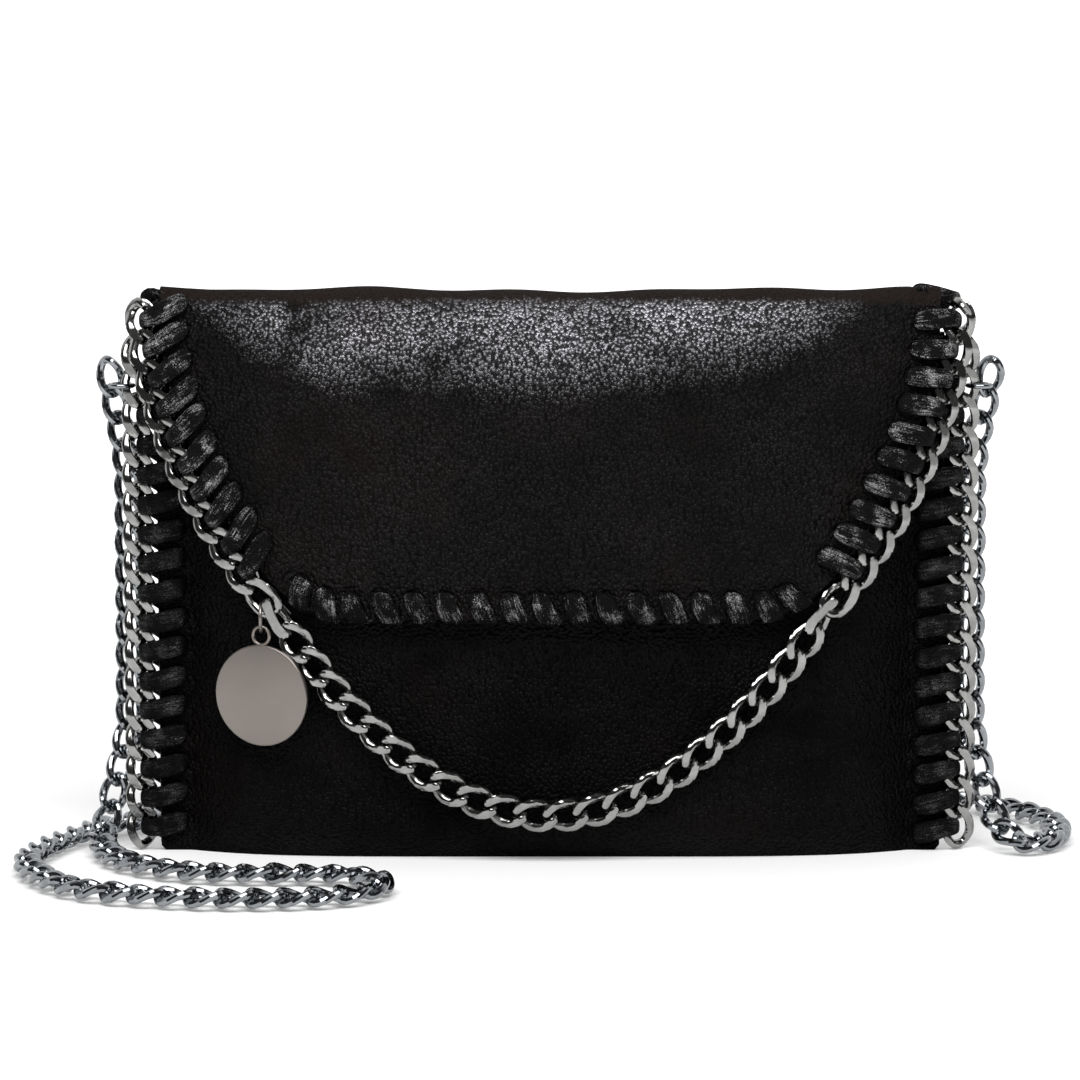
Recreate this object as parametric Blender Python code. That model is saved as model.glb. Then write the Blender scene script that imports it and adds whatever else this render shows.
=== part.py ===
# Small leather crossbody bag with a fold-over flap, curb chain trim, whip-stitch lacing,
# a free chain swag, a disc charm and a long chain strap.
#
# Frame: metres, +Z up, the front faces -Y, the origin is the middle of the base on the floor.
# The chains are the feature that takes the most skill: every link is a twisted open ring that
# hooks through its neighbours, and every thong runs through a slot in the leather and down
# through the opening of its own link.

import math

import bmesh
import bpy
import numpy as np
from mathutils import Matrix, Vector

for old in list(bpy.data.objects):
    bpy.data.objects.remove(old, do_unlink=True)

MM = 0.001
UP = Vector((0.0, 0.0, 1.0))
FORWARD = Vector((0.0, -1.0, 0.0))

# Clearances
GAP = 0.3 * MM               # between pieces that lie against each other
CHAIN_GAP = 0.6 * MM         # between a chain and the leather's edge beside it
OVERRUN = 2.0 * MM           # how far a cutter runs past the wall it cuts
CLOTH_GAP = 0.6 * MM         # between cloth layers that bulge together
MERGE_DISTANCE = 0.01 * MM   # within which a turned piece's corners are made one

# Overall sizes, which the rest is tied to
BODY_HALF_WIDTH = 117.7 * MM  # to the cut edge of the side seams
BODY_HALF_DEPTH = 18.0 * MM   # bulge of the front and of the back, halfway up
FLAP_TOP = 169.1 * MM         # inner face at the top of the fold
FLAP_HEM = 71.5 * MM          # height of the flap's bottom edge

# Bag body
SEAM_MARGIN = 9.7 * MM        # flat margin of the side seams
SEAM_HALF_WIDTH = BODY_HALF_WIDTH - SEAM_MARGIN
FOLD_RISE = 12.1 * MM         # from the hinge, where the flap's leather starts at the back, to the top
HINGE_HEIGHT = FLAP_TOP - FOLD_RISE
MOUTH_DROP = 5.0 * MM         # from the hinge to the top edge of the front panel
MOUTH_HEIGHT = HINGE_HEIGHT - MOUTH_DROP
SHOULDER_DROP = 6.0 * MM      # from there to its top corners, at the side seams
SHOULDER_HEIGHT = MOUTH_HEIGHT - SHOULDER_DROP
SHOULDER_FULLNESS = 6
LEATHER = 1.4 * MM
CORNER_RADIUS = 7.0 * MM      # rounding of the body's bottom corners
BASE_TUCK_SHARE = 0.15        # how much the walls draw in at the floor
BASE_TUCK_HEIGHT = 14.0 * MM
BASE_FULLNESS = 2.6           # exponent of the plan outline at the floor
MOUTH_FULLNESS = 5.0          # and at the mouth, where it is squarer
COLUMN_STEPS = 6              # facets of a wall from the middle to the side seam
COLUMN_CROWDING = 0.65
EDGE_SHARE = 0.97             # a column nearer a wall's edge than this is left out

# Flap
FLAP_INSET = 1.5 * MM         # its cut edge inside the side seams', at the fold
FLAP_HALF_WIDTH = BODY_HALF_WIDTH - FLAP_INSET
FLAP_TAPER = 38.0 * MM        # how far each side draws in down to the hem
FLAP_TAPER_POWER = 1.9
FLAP_CORNER = 12.0 * MM
FLAP_STANDOFF = 4.8 * MM      # front panel to the flap leather's inner face
FLAP_SIDE_DEPTH = 8.0 * MM    # how far the flap's sides stand in front of the side seams
FLAP_PLAN_SPARE = 7.3 * MM    # past the side seams, to where the flap's plan curve comes back to its sides
FLAP_PLAN_HALF_WIDTH = BODY_HALF_WIDTH + FLAP_PLAN_SPARE
FLAP_FULLNESS = 3.0
FLAP_ROUND_HIGH = 4.2         # exponents of the flap's profile from hem to fold
FLAP_ROUND_DEEP = 1.5
LINING = 0.6 * MM
FLAP_LINING = 0.7 * MM
LINING_MARGIN = 13.0 * MM     # from the flap's edge to its lining's, inside the lacing
LINING_TURN_FROM = math.radians(12.0)
FOLD_TURN_FROM = math.radians(60.0)  # where the line of the flap's laced edge starts, behind the fold
TURN_STEP = 0.01              # turn, in radians, over which a direction on the flap is taken
FRAME_REACH = 1.5 * MM        # length to each side over which an edge's direction is taken

# Base stack and linings
BASE_BOARD = 1.5 * MM
POCKET_CLOTH = 0.9 * MM       # the flat pocket bag behind the back lining
LINING_INSET = 7.0 * MM       # from the side seam's margin to the front lining's edge
LINING_HALF_WIDTH = SEAM_HALF_WIDTH - LINING_INSET
BACK_LINING_HALF_WIDTH = LINING_HALF_WIDTH - LINING_INSET
LINING_DROP = 4.0 * MM        # from the front panel's top edge
LINING_TOP = MOUTH_HEIGHT - LINING_DROP
BASE_INSET = 10.0 * MM
BASE_HALF_WIDTH = SEAM_HALF_WIDTH - BASE_INSET
BOARD_INSET = 6.0 * MM
BOARD_HALF_WIDTH = BASE_HALF_WIDTH - BOARD_INSET

# Curb chain
LINK_PITCH = 9.05 * MM
WIRE = 2.3 * MM
LINK_WIDTH = 10.1 * MM
LINK_TWIST = math.radians(42.0)
LINK_SEAT = 0.30 * MM         # how far touching links are pressed together
TIP_SHARE = 0.55              # half width of a link's end, as a share of its half width
SIDE_SHARE = 0.39             # half length of a link's straight side, as a share of its half length
SIDE_CHAIN_LOW = 8.5 * MM     # lower end of the side chains
FLAP_CHAIN_START = 4.0 * MM   # from the top of the fold to the flap chain's first link
FLAP_CHAIN_END = 14.0 * MM    # least length from its last link to the flap's bottom edge, round the corner

# Lacing thong
THONG = 1.2 * MM
THONG_WIDTH = 5.4 * MM
THONG_NECK = 3.4 * MM         # where it squeezes through a link
SLOT_SPARE = 0.35 * MM        # slot edge to thong
HOLE_INSET = 7.0 * MM         # slot centre to the leather's edge
STITCH_LAG = 3.0 * MM         # how far a slot lies behind the place where its thong turns
LAST_STITCH_SHARE = 0.7       # the last stitch's reach behind the leather, as a share of a pitch
NECK_OUT = 4.3 * MM           # its middle line in the link's opening, from the leather's edge
THONG_CREST = 4.0 * MM        # its middle line above the link, from the leather's middle
THONG_TROUGH = 3.2 * MM       # and below it
BACK_GAP = 0.8 * MM           # thong to leather on the hidden side
HEM_PITCH = 10.2 * MM

# Swag, the free chain below the flap
SWAG_LOW = 14.5 * MM          # about where its middle line passes lowest
SWAG_LIFT = 3.5 * MM          # its middle line to the front panel
SWAG_MEASURE_STEPS = 100
HANGER_PLAY = 3.2 * MM        # from the flap's last wire to the swag's first wire

# Disc charm
DISC_RADIUS = 15.2 * MM
DISC = 1.5 * MM
BAIL_RADIUS = 2.7 * MM
BAIL_WIRE = 1.0 * MM
DISC_TURN = math.radians(-24.0)
DISC_EDGE_SHARE = 0.22        # rounding of a disc's rim, as a share of its thickness
RING_RADIUS = 4.1 * MM
RING_WIRE = 1.0 * MM
RING_HOOK_SHARE = 0.3         # place on the link, from its straight side to its end
RING_LIFT = 2.6 * MM          # from the wire that it hangs on to its own wire above it

# Magnetic snap
SNAP_RISE = 20.5 * MM         # above the flap's bottom edge
SNAP_HEIGHT = FLAP_HEM + SNAP_RISE
SOCKET_RADIUS = 7.0 * MM
SOCKET = 1.5 * MM
SOCKET_WELL_RADIUS = 3.2 * MM
SOCKET_WELL = 1.0 * MM
STUD_PLATE = 0.5 * MM
STUD_NUB_RADIUS = 2.6 * MM
STUD_NUB = 0.9 * MM
WASHER_RADIUS = 6.0 * MM
WASHER = 0.5 * MM

# Pockets and zip
SLIP_POCKET_HALF_WIDTH = 50.0 * MM
SLIP_POCKET_DROP = 40.0 * MM  # from the front panel's top edge
SLIP_POCKET_HIGH = MOUTH_HEIGHT - SLIP_POCKET_DROP
SLIP_POCKET_DEPTH_SHARE = 0.55
SLIP_POCKET_LOW = SLIP_POCKET_HIGH * (1.0 - SLIP_POCKET_DEPTH_SHARE)
ZIP_DROP = 30.0 * MM
ZIP_HEIGHT = MOUTH_HEIGHT - ZIP_DROP
ZIP_HALF_WIDTH = 52.0 * MM
ZIP_TAPE_HALF_HEIGHT = 7.0 * MM
POCKET_HALF_WIDTH = 58.0 * MM
POCKET_HIGH = ZIP_HEIGHT - ZIP_TAPE_HALF_HEIGHT + LINING
POCKET_DEPTH_SHARE = 0.6
POCKET_LOW = POCKET_HIGH * (1.0 - POCKET_DEPTH_SHARE)
ZIP_TAPE = 0.5 * MM
ZIP_COIL_HALF_HEIGHT = 2.2 * MM
ZIP_COIL = 1.2 * MM
SLIDER_LENGTH = 9.0 * MM
SLIDER_HALF_HEIGHT = 4.0 * MM
SLIDER_WALL = 0.8 * MM
ARCH_HALF_OPENING = 1.6 * MM  # the slider's bridge, whose opening holds the pull's crossbar
ARCH_OPENING_HEIGHT = 1.9 * MM
ARCH_WALL = 1.0 * MM
ARCH_BAR = 0.7 * MM
ARCH_HALF_WIDTH = 1.0 * MM
PULL_LENGTH = 18.0 * MM
PULL_WIDTH = 5.0 * MM
PULL = 1.0 * MM
PULL_CROSSBAR = 0.8 * MM      # its far edge from the hinge line, half of it on each side
PULL_HOLE_END = 3.2 * MM
PULL_HOLE_HALF_WIDTH = 1.4 * MM
SLIDER_MARGIN = 10.0 * MM     # from its centre to the coil's end, at both ends of its travel
SLIDER_TRAVEL = 2 * (ZIP_HALF_WIDTH - SLIDER_MARGIN)

# Strap
STRAP_RING_RADIUS = 3.4 * MM
STRAP_RING_WIRE = 1.5 * MM
STRAP_RING_OUT = 1.0 * MM     # its centre beyond the side chain's outer wire
STRAP_RADIUS = 3.5 * MM
STRAP_STEPS = 63              # straight pieces that the strap's line is made of
STRAP_TURN_WEIGHT = 22.0 * MM  # length that a turn of one radian counts for, to place more points in bends

# Route of the strap, chosen by hand: down the left side, a loop on the floor in front, round
# behind the bag with its slack, a loop at the right, and up the right side. Across, it is in
# shares of the strap ring's place. In depth, in shares of the body's half depth. Upwards, in
# shares of the ring's height above the strap's own height on the floor.
STRAP_ROUTE_SHARES = [
    (-1.0331, 0.194, 0.9912), (-1.0394, 0.333, 0.8360), (-1.0417, 0.433, 0.5946),
    (-1.0433, 0.444, 0.3532), (-1.0464, 0.389, 0.1531), (-1.0526, 0.111, 0.0324),
    (-1.0487, -0.667, 0.0014), (-0.9903, -1.833, 0.0000), (-0.8421, -2.722, 0.0000),
    (-0.6706, -2.944, 0.0000), (-0.5146, -2.944, 0.0000), (-0.4055, -3.278, 0.0000),
    (-0.3821, -3.944, 0.0000), (-0.4522, -4.556, 0.0000), (-0.6082, -4.833, 0.0000),
    (-0.8109, -4.778, 0.0000), (-1.0136, -4.278, 0.0000), (-1.1696, -3.389, 0.0000),
    (-1.2476, -2.222, 0.0000), (-1.2320, -0.944, 0.0000), (-1.1540, 0.222, 0.0000),
    (-1.0370, 1.222, 0.0000), (-0.8577, 1.889, 0.0000), (-0.5848, 2.111, 0.0000),
    (-0.2339, 2.000, 0.0000), (0.1170, 1.889, 0.0000), (0.3743, 2.056, 0.0000),
    (0.4678, 2.667, 0.0000), (0.3899, 3.278, 0.0000), (0.1559, 3.389, 0.0000),
    (-0.0936, 3.500, 0.0000), (-0.1871, 4.111, 0.0000), (-0.0936, 4.722, 0.0000),
    (0.1949, 4.778, 0.0000), (0.5458, 4.389, 0.0000), (0.8577, 3.833, 0.0000),
    (1.0916, 2.889, 0.0000), (1.2008, 1.556, 0.0000), (1.2008, 0.222, 0.0000),
    (1.1306, -0.556, 0.0014), (1.0643, -0.333, 0.0186), (1.0464, 0.222, 0.1117),
    (1.0433, 0.417, 0.3187), (1.0417, 0.433, 0.5601), (1.0394, 0.333, 0.8153),
    (1.0331, 0.194, 0.9912),
]


# Materials

def make_material(name, colour, roughness, metallic):
    material = bpy.data.materials.new(name)
    material.use_nodes = True
    shader = material.node_tree.nodes["Principled BSDF"]
    shader.inputs["Base Color"].default_value = (*colour, 1.0)
    shader.inputs["Roughness"].default_value = roughness
    shader.inputs["Metallic"].default_value = metallic
    material.diffuse_color = (*colour, 1.0)
    return material


BLACK_LEATHER = ((0.012, 0.011, 0.011), 0.38, 0.0)
BLACK_THONG = ((0.014, 0.014, 0.015), 0.45, 0.0)
BLACK_CLOTH = ((0.02, 0.02, 0.022), 0.85, 0.0)
GUNMETAL = ((0.22, 0.22, 0.23), 0.22, 1.0)
WARM_STEEL = ((0.36, 0.32, 0.29), 0.35, 1.0)
GREY_BOARD = ((0.30, 0.27, 0.22), 0.9, 0.0)


def place_mesh(name, mesh, finish, smooth_angle=None):
    shown = bpy.data.objects.new(name, mesh)
    bpy.context.collection.objects.link(shown)
    mesh.materials.clear()
    mesh.materials.append(make_material(name, *finish))
    if smooth_angle is not None:
        mesh.shade_smooth()
        mesh.set_sharp_from_angle(angle=smooth_angle)
    return shown


def mesh_from_bmesh(name, shape):
    bmesh.ops.recalc_face_normals(shape, faces=shape.faces)
    mesh = bpy.data.meshes.new(name)
    shape.to_mesh(mesh)
    shape.free()
    return mesh


def make_cutter(name, mesh):
    cutter = bpy.data.objects.new(name, mesh)
    bpy.context.collection.objects.link(cutter)
    cutter.hide_render = True
    cutter.display_type = "WIRE"
    return cutter


def add_boolean(target, cutter, operation):
    boolean = target.modifiers.new(operation.lower(), "BOOLEAN")
    boolean.operation = operation
    boolean.object = cutter
    boolean.solver = "EXACT"


def solidify(target, thickness, outward):
    wall = target.modifiers.new("wall", "SOLIDIFY")
    wall.thickness = thickness
    wall.offset = 1.0 if outward else -1.0
    wall.use_even_offset = True
    wall.use_rim = True


# Body and flap surfaces

def flap_profile_share(height):
    """Depth of the flap's profile at a height, as a share of its depth at the hem."""
    rise = max(0.0, (height - FLAP_HEM) / (FLAP_TOP - FLAP_HEM))
    return max(0.0, 1.0 - rise ** FLAP_ROUND_HIGH) ** (1.0 / FLAP_ROUND_DEEP)


def plan_share(x, height):
    """Depth of the plan outline at a distance from the middle, as a share of full depth."""
    climb = min(1.0, height / MOUTH_HEIGHT)
    fullness = BASE_FULLNESS + (MOUTH_FULLNESS - BASE_FULLNESS) * climb * climb
    return max(0.0, 1.0 - min(1.0, abs(x) / SEAM_HALF_WIDTH) ** fullness)


SEAM_HALF_DEPTH = GAP / 2 + LEATHER
FLAP_DEPTH = BODY_HALF_DEPTH + FLAP_STANDOFF


def body_half_depth(x, height):
    """Outer face of the front or back panel, as a distance from the seam plane."""
    depth = flap_profile_share(height) * FLAP_DEPTH - FLAP_STANDOFF
    tuck = max(0.0, 1.0 - height / BASE_TUCK_HEIGHT)
    depth *= 1.0 - BASE_TUCK_SHARE * tuck * tuck
    return SEAM_HALF_DEPTH + (depth - SEAM_HALF_DEPTH) * plan_share(x, height)


def body_foot(x):
    """Height of a panel's bottom edge: level, then rounded up at the corners."""
    over = (abs(x) - (BODY_HALF_WIDTH - CORNER_RADIUS)) / CORNER_RADIUS
    if over <= 0.0:
        return 0.0
    return CORNER_RADIUS * (1.0 - math.sqrt(max(0.0, 1.0 - over * over)))


def body_brow(x):
    """Height of the front panel's top edge: level, then eased down to its corners."""
    return MOUTH_HEIGHT - SHOULDER_DROP * (abs(x) / BODY_HALF_WIDTH) ** SHOULDER_FULLNESS


def flap_side(height):
    """Leather half width of the flap at a height on its front, before its corners are rounded."""
    fall = max(0.0, (FLAP_TOP - height) / (FLAP_TOP - FLAP_HEM))
    return FLAP_HALF_WIDTH - FLAP_TAPER * fall ** FLAP_TAPER_POWER


def corner_rise(over):
    """How far a corner's edge has risen, at a share of the way across its rounding."""
    return FLAP_CORNER * (1.0 - math.sqrt(max(0.0, 1.0 - over * over)))


def flap_half_width(height):
    """The same with its corners rounded."""
    low = (FLAP_CORNER - (height - FLAP_HEM)) / FLAP_CORNER
    return flap_side(height) - corner_rise(max(0.0, low))


def flap_section(x, turn):
    """Inner face of the flap's leather. The turn runs from 0 at the hinge, at the back, over
    the top at a quarter turn, and on to half a turn at the hem."""
    if turn <= math.pi / 2:
        back = body_half_depth(x, HINGE_HEIGHT) - LEATHER
        return Vector((x, back * math.cos(turn), HINGE_HEIGHT + (FLAP_TOP - HINGE_HEIGHT) * math.sin(turn)))
    ahead = math.pi - turn
    height = FLAP_HEM + (FLAP_TOP - FLAP_HEM) * math.sin(ahead) ** (2.0 / FLAP_ROUND_HIGH)
    plan = 1.0 - (abs(x) / FLAP_PLAN_HALF_WIDTH) ** FLAP_FULLNESS
    deep = FLAP_SIDE_DEPTH + (FLAP_DEPTH - FLAP_SIDE_DEPTH) * plan
    return Vector((x, -deep * math.cos(ahead) ** (2.0 / FLAP_ROUND_DEEP), height))


def flap_turn_at(height):
    """The turn at which the flap's front passes a height."""
    rise = (height - FLAP_HEM) / (FLAP_TOP - FLAP_HEM)
    return math.pi - math.asin(min(1.0, max(0.0, rise) ** (FLAP_ROUND_HIGH / 2.0)))


def grid_mesh(name, columns, rows, point_at, keep_facing):
    """A sheet of quads through point_at(column, row)."""
    shape = bmesh.new()
    lines = [[shape.verts.new(point_at(c, r)) for c in range(columns + 1)] for r in range(rows + 1)]
    for low, high in zip(lines, lines[1:]):
        for c in range(columns):
            shape.faces.new((low[c], low[c + 1], high[c + 1], high[c]))
    shape.normal_update()
    middle = shape.faces[:][len(shape.faces) // 2]
    if middle.normal.dot(keep_facing) < 0.0:
        bmesh.ops.reverse_faces(shape, faces=shape.faces)
    mesh = bpy.data.meshes.new(name)
    shape.to_mesh(mesh)
    shape.free()
    return mesh


def column_places(half_width):
    """Distances from the middle, closer together towards the side seams, out to a half width."""
    places = [SEAM_HALF_WIDTH * (k / COLUMN_STEPS) ** COLUMN_CROWDING for k in range(COLUMN_STEPS + 1)]
    near = [x for x in places if x < half_width * EDGE_SHARE] + [half_width]
    return [-x for x in reversed(near[1:])] + near


def body_sheet(name, side, half_width, low, high, inset, thickness, finish, rows):
    """A wall that follows the front (side -1) or the back (side +1), inset from its outer face.
    low and high give the bottom and top edge at each place along it."""
    columns = column_places(half_width)

    def point_at(column, row):
        x = columns[column]
        z = low(x) + (high(x) - low(x)) * row / rows
        return Vector((x, side * (body_half_depth(x, z) - inset), z))

    mesh = grid_mesh(name, len(columns) - 1, rows, point_at, Vector((0.0, side, 0.0)))
    wall = place_mesh(name, mesh, finish)
    solidify(wall, thickness, outward=False)
    return wall


def lens_plate(name, half_width, inset, low, thickness, finish):
    """A flat plate whose outline follows the body's plan, inset from the outer faces."""
    shape = bmesh.new()
    near = [(x, -(body_half_depth(x, low) - inset)) for x in column_places(half_width)]
    far = [(x, -y) for x, y in reversed(near)]
    outline = [shape.verts.new((x, y, low)) for x, y in near + far]
    face = shape.faces.new(outline)
    grown = bmesh.ops.extrude_face_region(shape, geom=[face])
    moved = [v for v in grown["geom"] if isinstance(v, bmesh.types.BMVert)]
    bmesh.ops.translate(shape, verts=moved, vec=(0.0, 0.0, thickness))
    return place_mesh(name, mesh_from_bmesh(name, shape), finish)


# Edge frames: a place on an edge, its direction, the way out of the leather and the way forward

def frames_along(points, normals):
    """Running lengths and unit frames along a line of points."""
    line = np.array([tuple(p) for p in points])
    facing = np.array([tuple(n) for n in normals])
    steps = np.linalg.norm(np.diff(line, axis=0), axis=1)
    lengths = np.concatenate([[0.0], np.cumsum(steps)])
    return lengths, line, facing


def frame_at(track, length):
    """Point, direction and facing at a running length."""
    lengths, line, facing = track
    point = np.array([np.interp(length, lengths, line[:, k]) for k in range(3)])
    ahead = np.array([np.interp(length + FRAME_REACH, lengths, line[:, k]) for k in range(3)])
    behind = np.array([np.interp(length - FRAME_REACH, lengths, line[:, k]) for k in range(3)])
    direction = Vector(ahead - behind).normalized()
    face = Vector([np.interp(length, lengths, facing[:, k]) for k in range(3)])
    face = (face - direction * face.dot(direction)).normalized()
    return Vector(point), direction, face


def skin_rings(shape, rings, closed):
    """Quads between rings of corners, round a closed loop or with both ends capped."""
    sides = len(rings[0])
    onward_rings = rings[1:] + rings[:1] if closed else rings[1:]
    for ring, onward in zip(rings, onward_rings):
        for j in range(sides):
            shape.faces.new((ring[j], ring[(j + 1) % sides], onward[(j + 1) % sides], onward[j]))
    if not closed:
        shape.faces.new(rings[0])
        shape.faces.new(reversed(rings[-1]))


# Chain links

def add_link(shape, start, end, face, twist_from, twist_to):
    """One curb link between two seats: a ring of eight corners that twists from end to end."""
    along = (end - start).normalized()
    front = (face - along * face.dot(along)).normalized()
    across = front.cross(along)
    centre = (start + end) / 2
    half_length = (LINK_PITCH + WIRE - LINK_SEAT) / 2
    half_width = (LINK_WIDTH - WIRE) / 2
    straight = half_length * SIDE_SHARE
    tip = half_width * TIP_SHARE
    corners = [(half_length, -tip), (half_length, tip), (straight, half_width), (-straight, half_width),
               (-half_length, tip), (-half_length, -tip), (-straight, -half_width), (straight, -half_width)]
    rings = []
    for k, (x, y) in enumerate(corners):
        before = Vector(corners[k - 1])
        after = Vector(corners[(k + 1) % len(corners)])
        here = Vector((x, y))
        edge_in = (here - before).normalized()
        edge_out = (after - here).normalized()
        outward = Vector((edge_in.y + edge_out.y, -edge_in.x - edge_out.x)).normalized()
        stretch = 1.0 / max(0.5, outward.dot(Vector((edge_in.y, -edge_in.x))))
        angle = twist_from + (twist_to - twist_from) * (x / half_length + 1.0) / 2.0
        tilted = across * math.cos(angle) + front * math.sin(angle)
        raised = front * math.cos(angle) - across * math.sin(angle)
        middle = centre + along * x + tilted * y
        spoke = (along * outward.x + tilted * outward.y) * stretch * WIRE / 2
        lift = raised * WIRE / 2
        rings.append([shape.verts.new(middle + spoke + lift), shape.verts.new(middle - spoke + lift),
                      shape.verts.new(middle - spoke - lift), shape.verts.new(middle + spoke - lift)])
    skin_rings(shape, rings, closed=True)


def make_chain(name, seats, faces, first_twist=None, last_twist=None):
    """A run of hooked links between seats. Every other link is joined in by a union, so that
    links touch only where they bear on each other."""
    halves = [bmesh.new(), bmesh.new()]
    count = len(seats) - 1
    for k in range(count):
        twist_from = first_twist if k == 0 and first_twist is not None else -LINK_TWIST
        twist_to = last_twist if k == count - 1 and last_twist is not None else LINK_TWIST
        add_link(halves[k % 2], seats[k], seats[k + 1], (faces[k] + faces[k + 1]) / 2, twist_from, twist_to)
    chain = place_mesh(name, mesh_from_bmesh(name, halves[0]), GUNMETAL)
    others = make_cutter(name + "_others", mesh_from_bmesh(name + "_others", halves[1]))
    add_boolean(chain, others, "UNION")
    return chain


# Lacing

def add_lacing_section(rings, shape, frame, place, half_width, corner):
    """Four corners of the thong at a place: out from the edge, forward of the leather's middle."""
    point, direction, face = frame
    outward = direction.cross(face)
    middle = point + outward * place[0] + face * place[1]
    spoke = (outward * corner[0] + face * corner[1]) * THONG / 2
    rings.append([shape.verts.new(middle + spoke + direction * half_width),
                  shape.verts.new(middle + spoke - direction * half_width),
                  shape.verts.new(middle - spoke - direction * half_width),
                  shape.verts.new(middle - spoke + direction * half_width)])


def make_lacing(name, track, stops, over_chain, half_wall, back_gap):
    """One thong, whip-stitched along an edge: forward through a slot, out over the edge, down
    past it at its stop, and behind to the next slot. Returns the frames of its slots."""
    shape = bmesh.new()
    rings = []
    slots = []
    front = half_wall + GAP + THONG / 2
    behind = half_wall + back_gap + THONG / 2
    drop = NECK_OUT if over_chain else GAP + THONG / 2
    crest = THONG_CREST if over_chain else front
    trough = THONG_TROUGH if over_chain else behind
    neck = THONG_NECK / 2 if over_chain else THONG_WIDTH / 2
    onward_stops = stops[1:] + [stops[-1] + LINK_PITCH * LAST_STITCH_SHARE]
    for stop, onward in zip(stops, onward_stops):
        at_slot = frame_at(track, stop - STITCH_LAG)
        at_drop = frame_at(track, stop)
        at_next = frame_at(track, onward - STITCH_LAG)
        last = onward is onward_stops[-1]
        slots.append(at_slot)
        add_lacing_section(rings, shape, at_slot, (-HOLE_INSET, front), THONG_WIDTH / 2, (-1, 1))
        add_lacing_section(rings, shape, at_drop, (drop, crest), neck, (1, 1))
        add_lacing_section(rings, shape, at_drop, (drop, -trough), neck, (1, -1))
        add_lacing_section(rings, shape, at_next, (-HOLE_INSET, -behind), THONG_WIDTH / 2,
                           (0, -1) if last else (-1, -1))
    skin_rings(shape, rings, closed=False)
    place_mesh(name, mesh_from_bmesh(name, shape), BLACK_THONG)
    return slots


def add_slot_boxes(shape, slots, reach):
    """Cutter boxes for the slots, each square to the leather."""
    for point, direction, face in slots:
        outward = direction.cross(face)
        middle = point - outward * HOLE_INSET
        length = THONG_WIDTH + 2 * SLOT_SPARE
        width = THONG * math.sqrt(2.0) + 2 * SLOT_SPARE
        turn = Matrix((direction, outward, face)).transposed().to_4x4()
        size = Matrix.Diagonal((length, width, 2 * reach, 1.0))
        bmesh.ops.create_cube(shape, size=1.0, matrix=Matrix.Translation(middle) @ turn @ size)


# Round pieces and blocks

def make_turned(name, profile, segments, finish, matrix):
    """A turned solid from a profile of (radius, height) corners that starts and ends on the axis."""
    shape = bmesh.new()
    verts = [shape.verts.new((r, 0.0, h)) for r, h in profile]
    edges = [shape.edges.new(pair) for pair in zip(verts, verts[1:])]
    bmesh.ops.spin(shape, geom=verts + edges, cent=(0, 0, 0), axis=(0, 0, 1), angle=math.tau,
                   steps=segments, use_merge=True)
    bmesh.ops.remove_doubles(shape, verts=shape.verts, dist=MERGE_DISTANCE)
    bmesh.ops.transform(shape, matrix=matrix, verts=shape.verts)
    return place_mesh(name, mesh_from_bmesh(name, shape), finish, math.radians(40))


def wire_ring_mesh(name, radius, wire, segments, sides, matrix):
    """A ring of round wire that lies in its own XY plane before it is placed."""
    shape = bmesh.new()
    rings = []
    for k in range(segments):
        turn = math.tau * k / segments
        spoke = Vector((math.cos(turn), math.sin(turn), 0.0))
        corners = [math.tau * (j + 0.5) / sides for j in range(sides)]
        rings.append([shape.verts.new(spoke * (radius + wire / 2 * math.cos(a)) + UP * wire / 2 * math.sin(a))
                      for a in corners])
    skin_rings(shape, rings, closed=True)
    bmesh.ops.transform(shape, matrix=matrix, verts=shape.verts)
    return mesh_from_bmesh(name, shape)


def make_wire_ring(name, radius, wire, segments, sides, finish, matrix):
    return place_mesh(name, wire_ring_mesh(name, radius, wire, segments, sides, matrix), finish, math.radians(60))


def block_mesh(name, low, high):
    shape = bmesh.new()
    middle = (Vector(low) + Vector(high)) / 2
    size = Matrix.Diagonal((*(Vector(high) - Vector(low)), 1.0))
    bmesh.ops.create_cube(shape, size=1.0, matrix=Matrix.Translation(middle) @ size)
    return mesh_from_bmesh(name, shape)


def hang_on(pivot, location, pieces):
    """Parents pieces to an empty on their joint's axis."""
    empty = bpy.data.objects.new(pivot, None)
    bpy.context.collection.objects.link(empty)
    empty.location = location
    empty.empty_display_size = LINK_PITCH
    for piece in pieces:
        piece.parent = empty
        piece.matrix_parent_inverse = Matrix.Translation(-Vector(location))


# Body of the bag

FRONT_LINING_INSET = LEATHER + 2 * GAP + WASHER
SLIP_POCKET_INSET = FRONT_LINING_INSET + LINING + CLOTH_GAP
POCKET_INSET = LEATHER + CLOTH_GAP
BACK_LINING_INSET = POCKET_INSET + POCKET_CLOTH + CLOTH_GAP


def level(height):
    return lambda x: height


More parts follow.
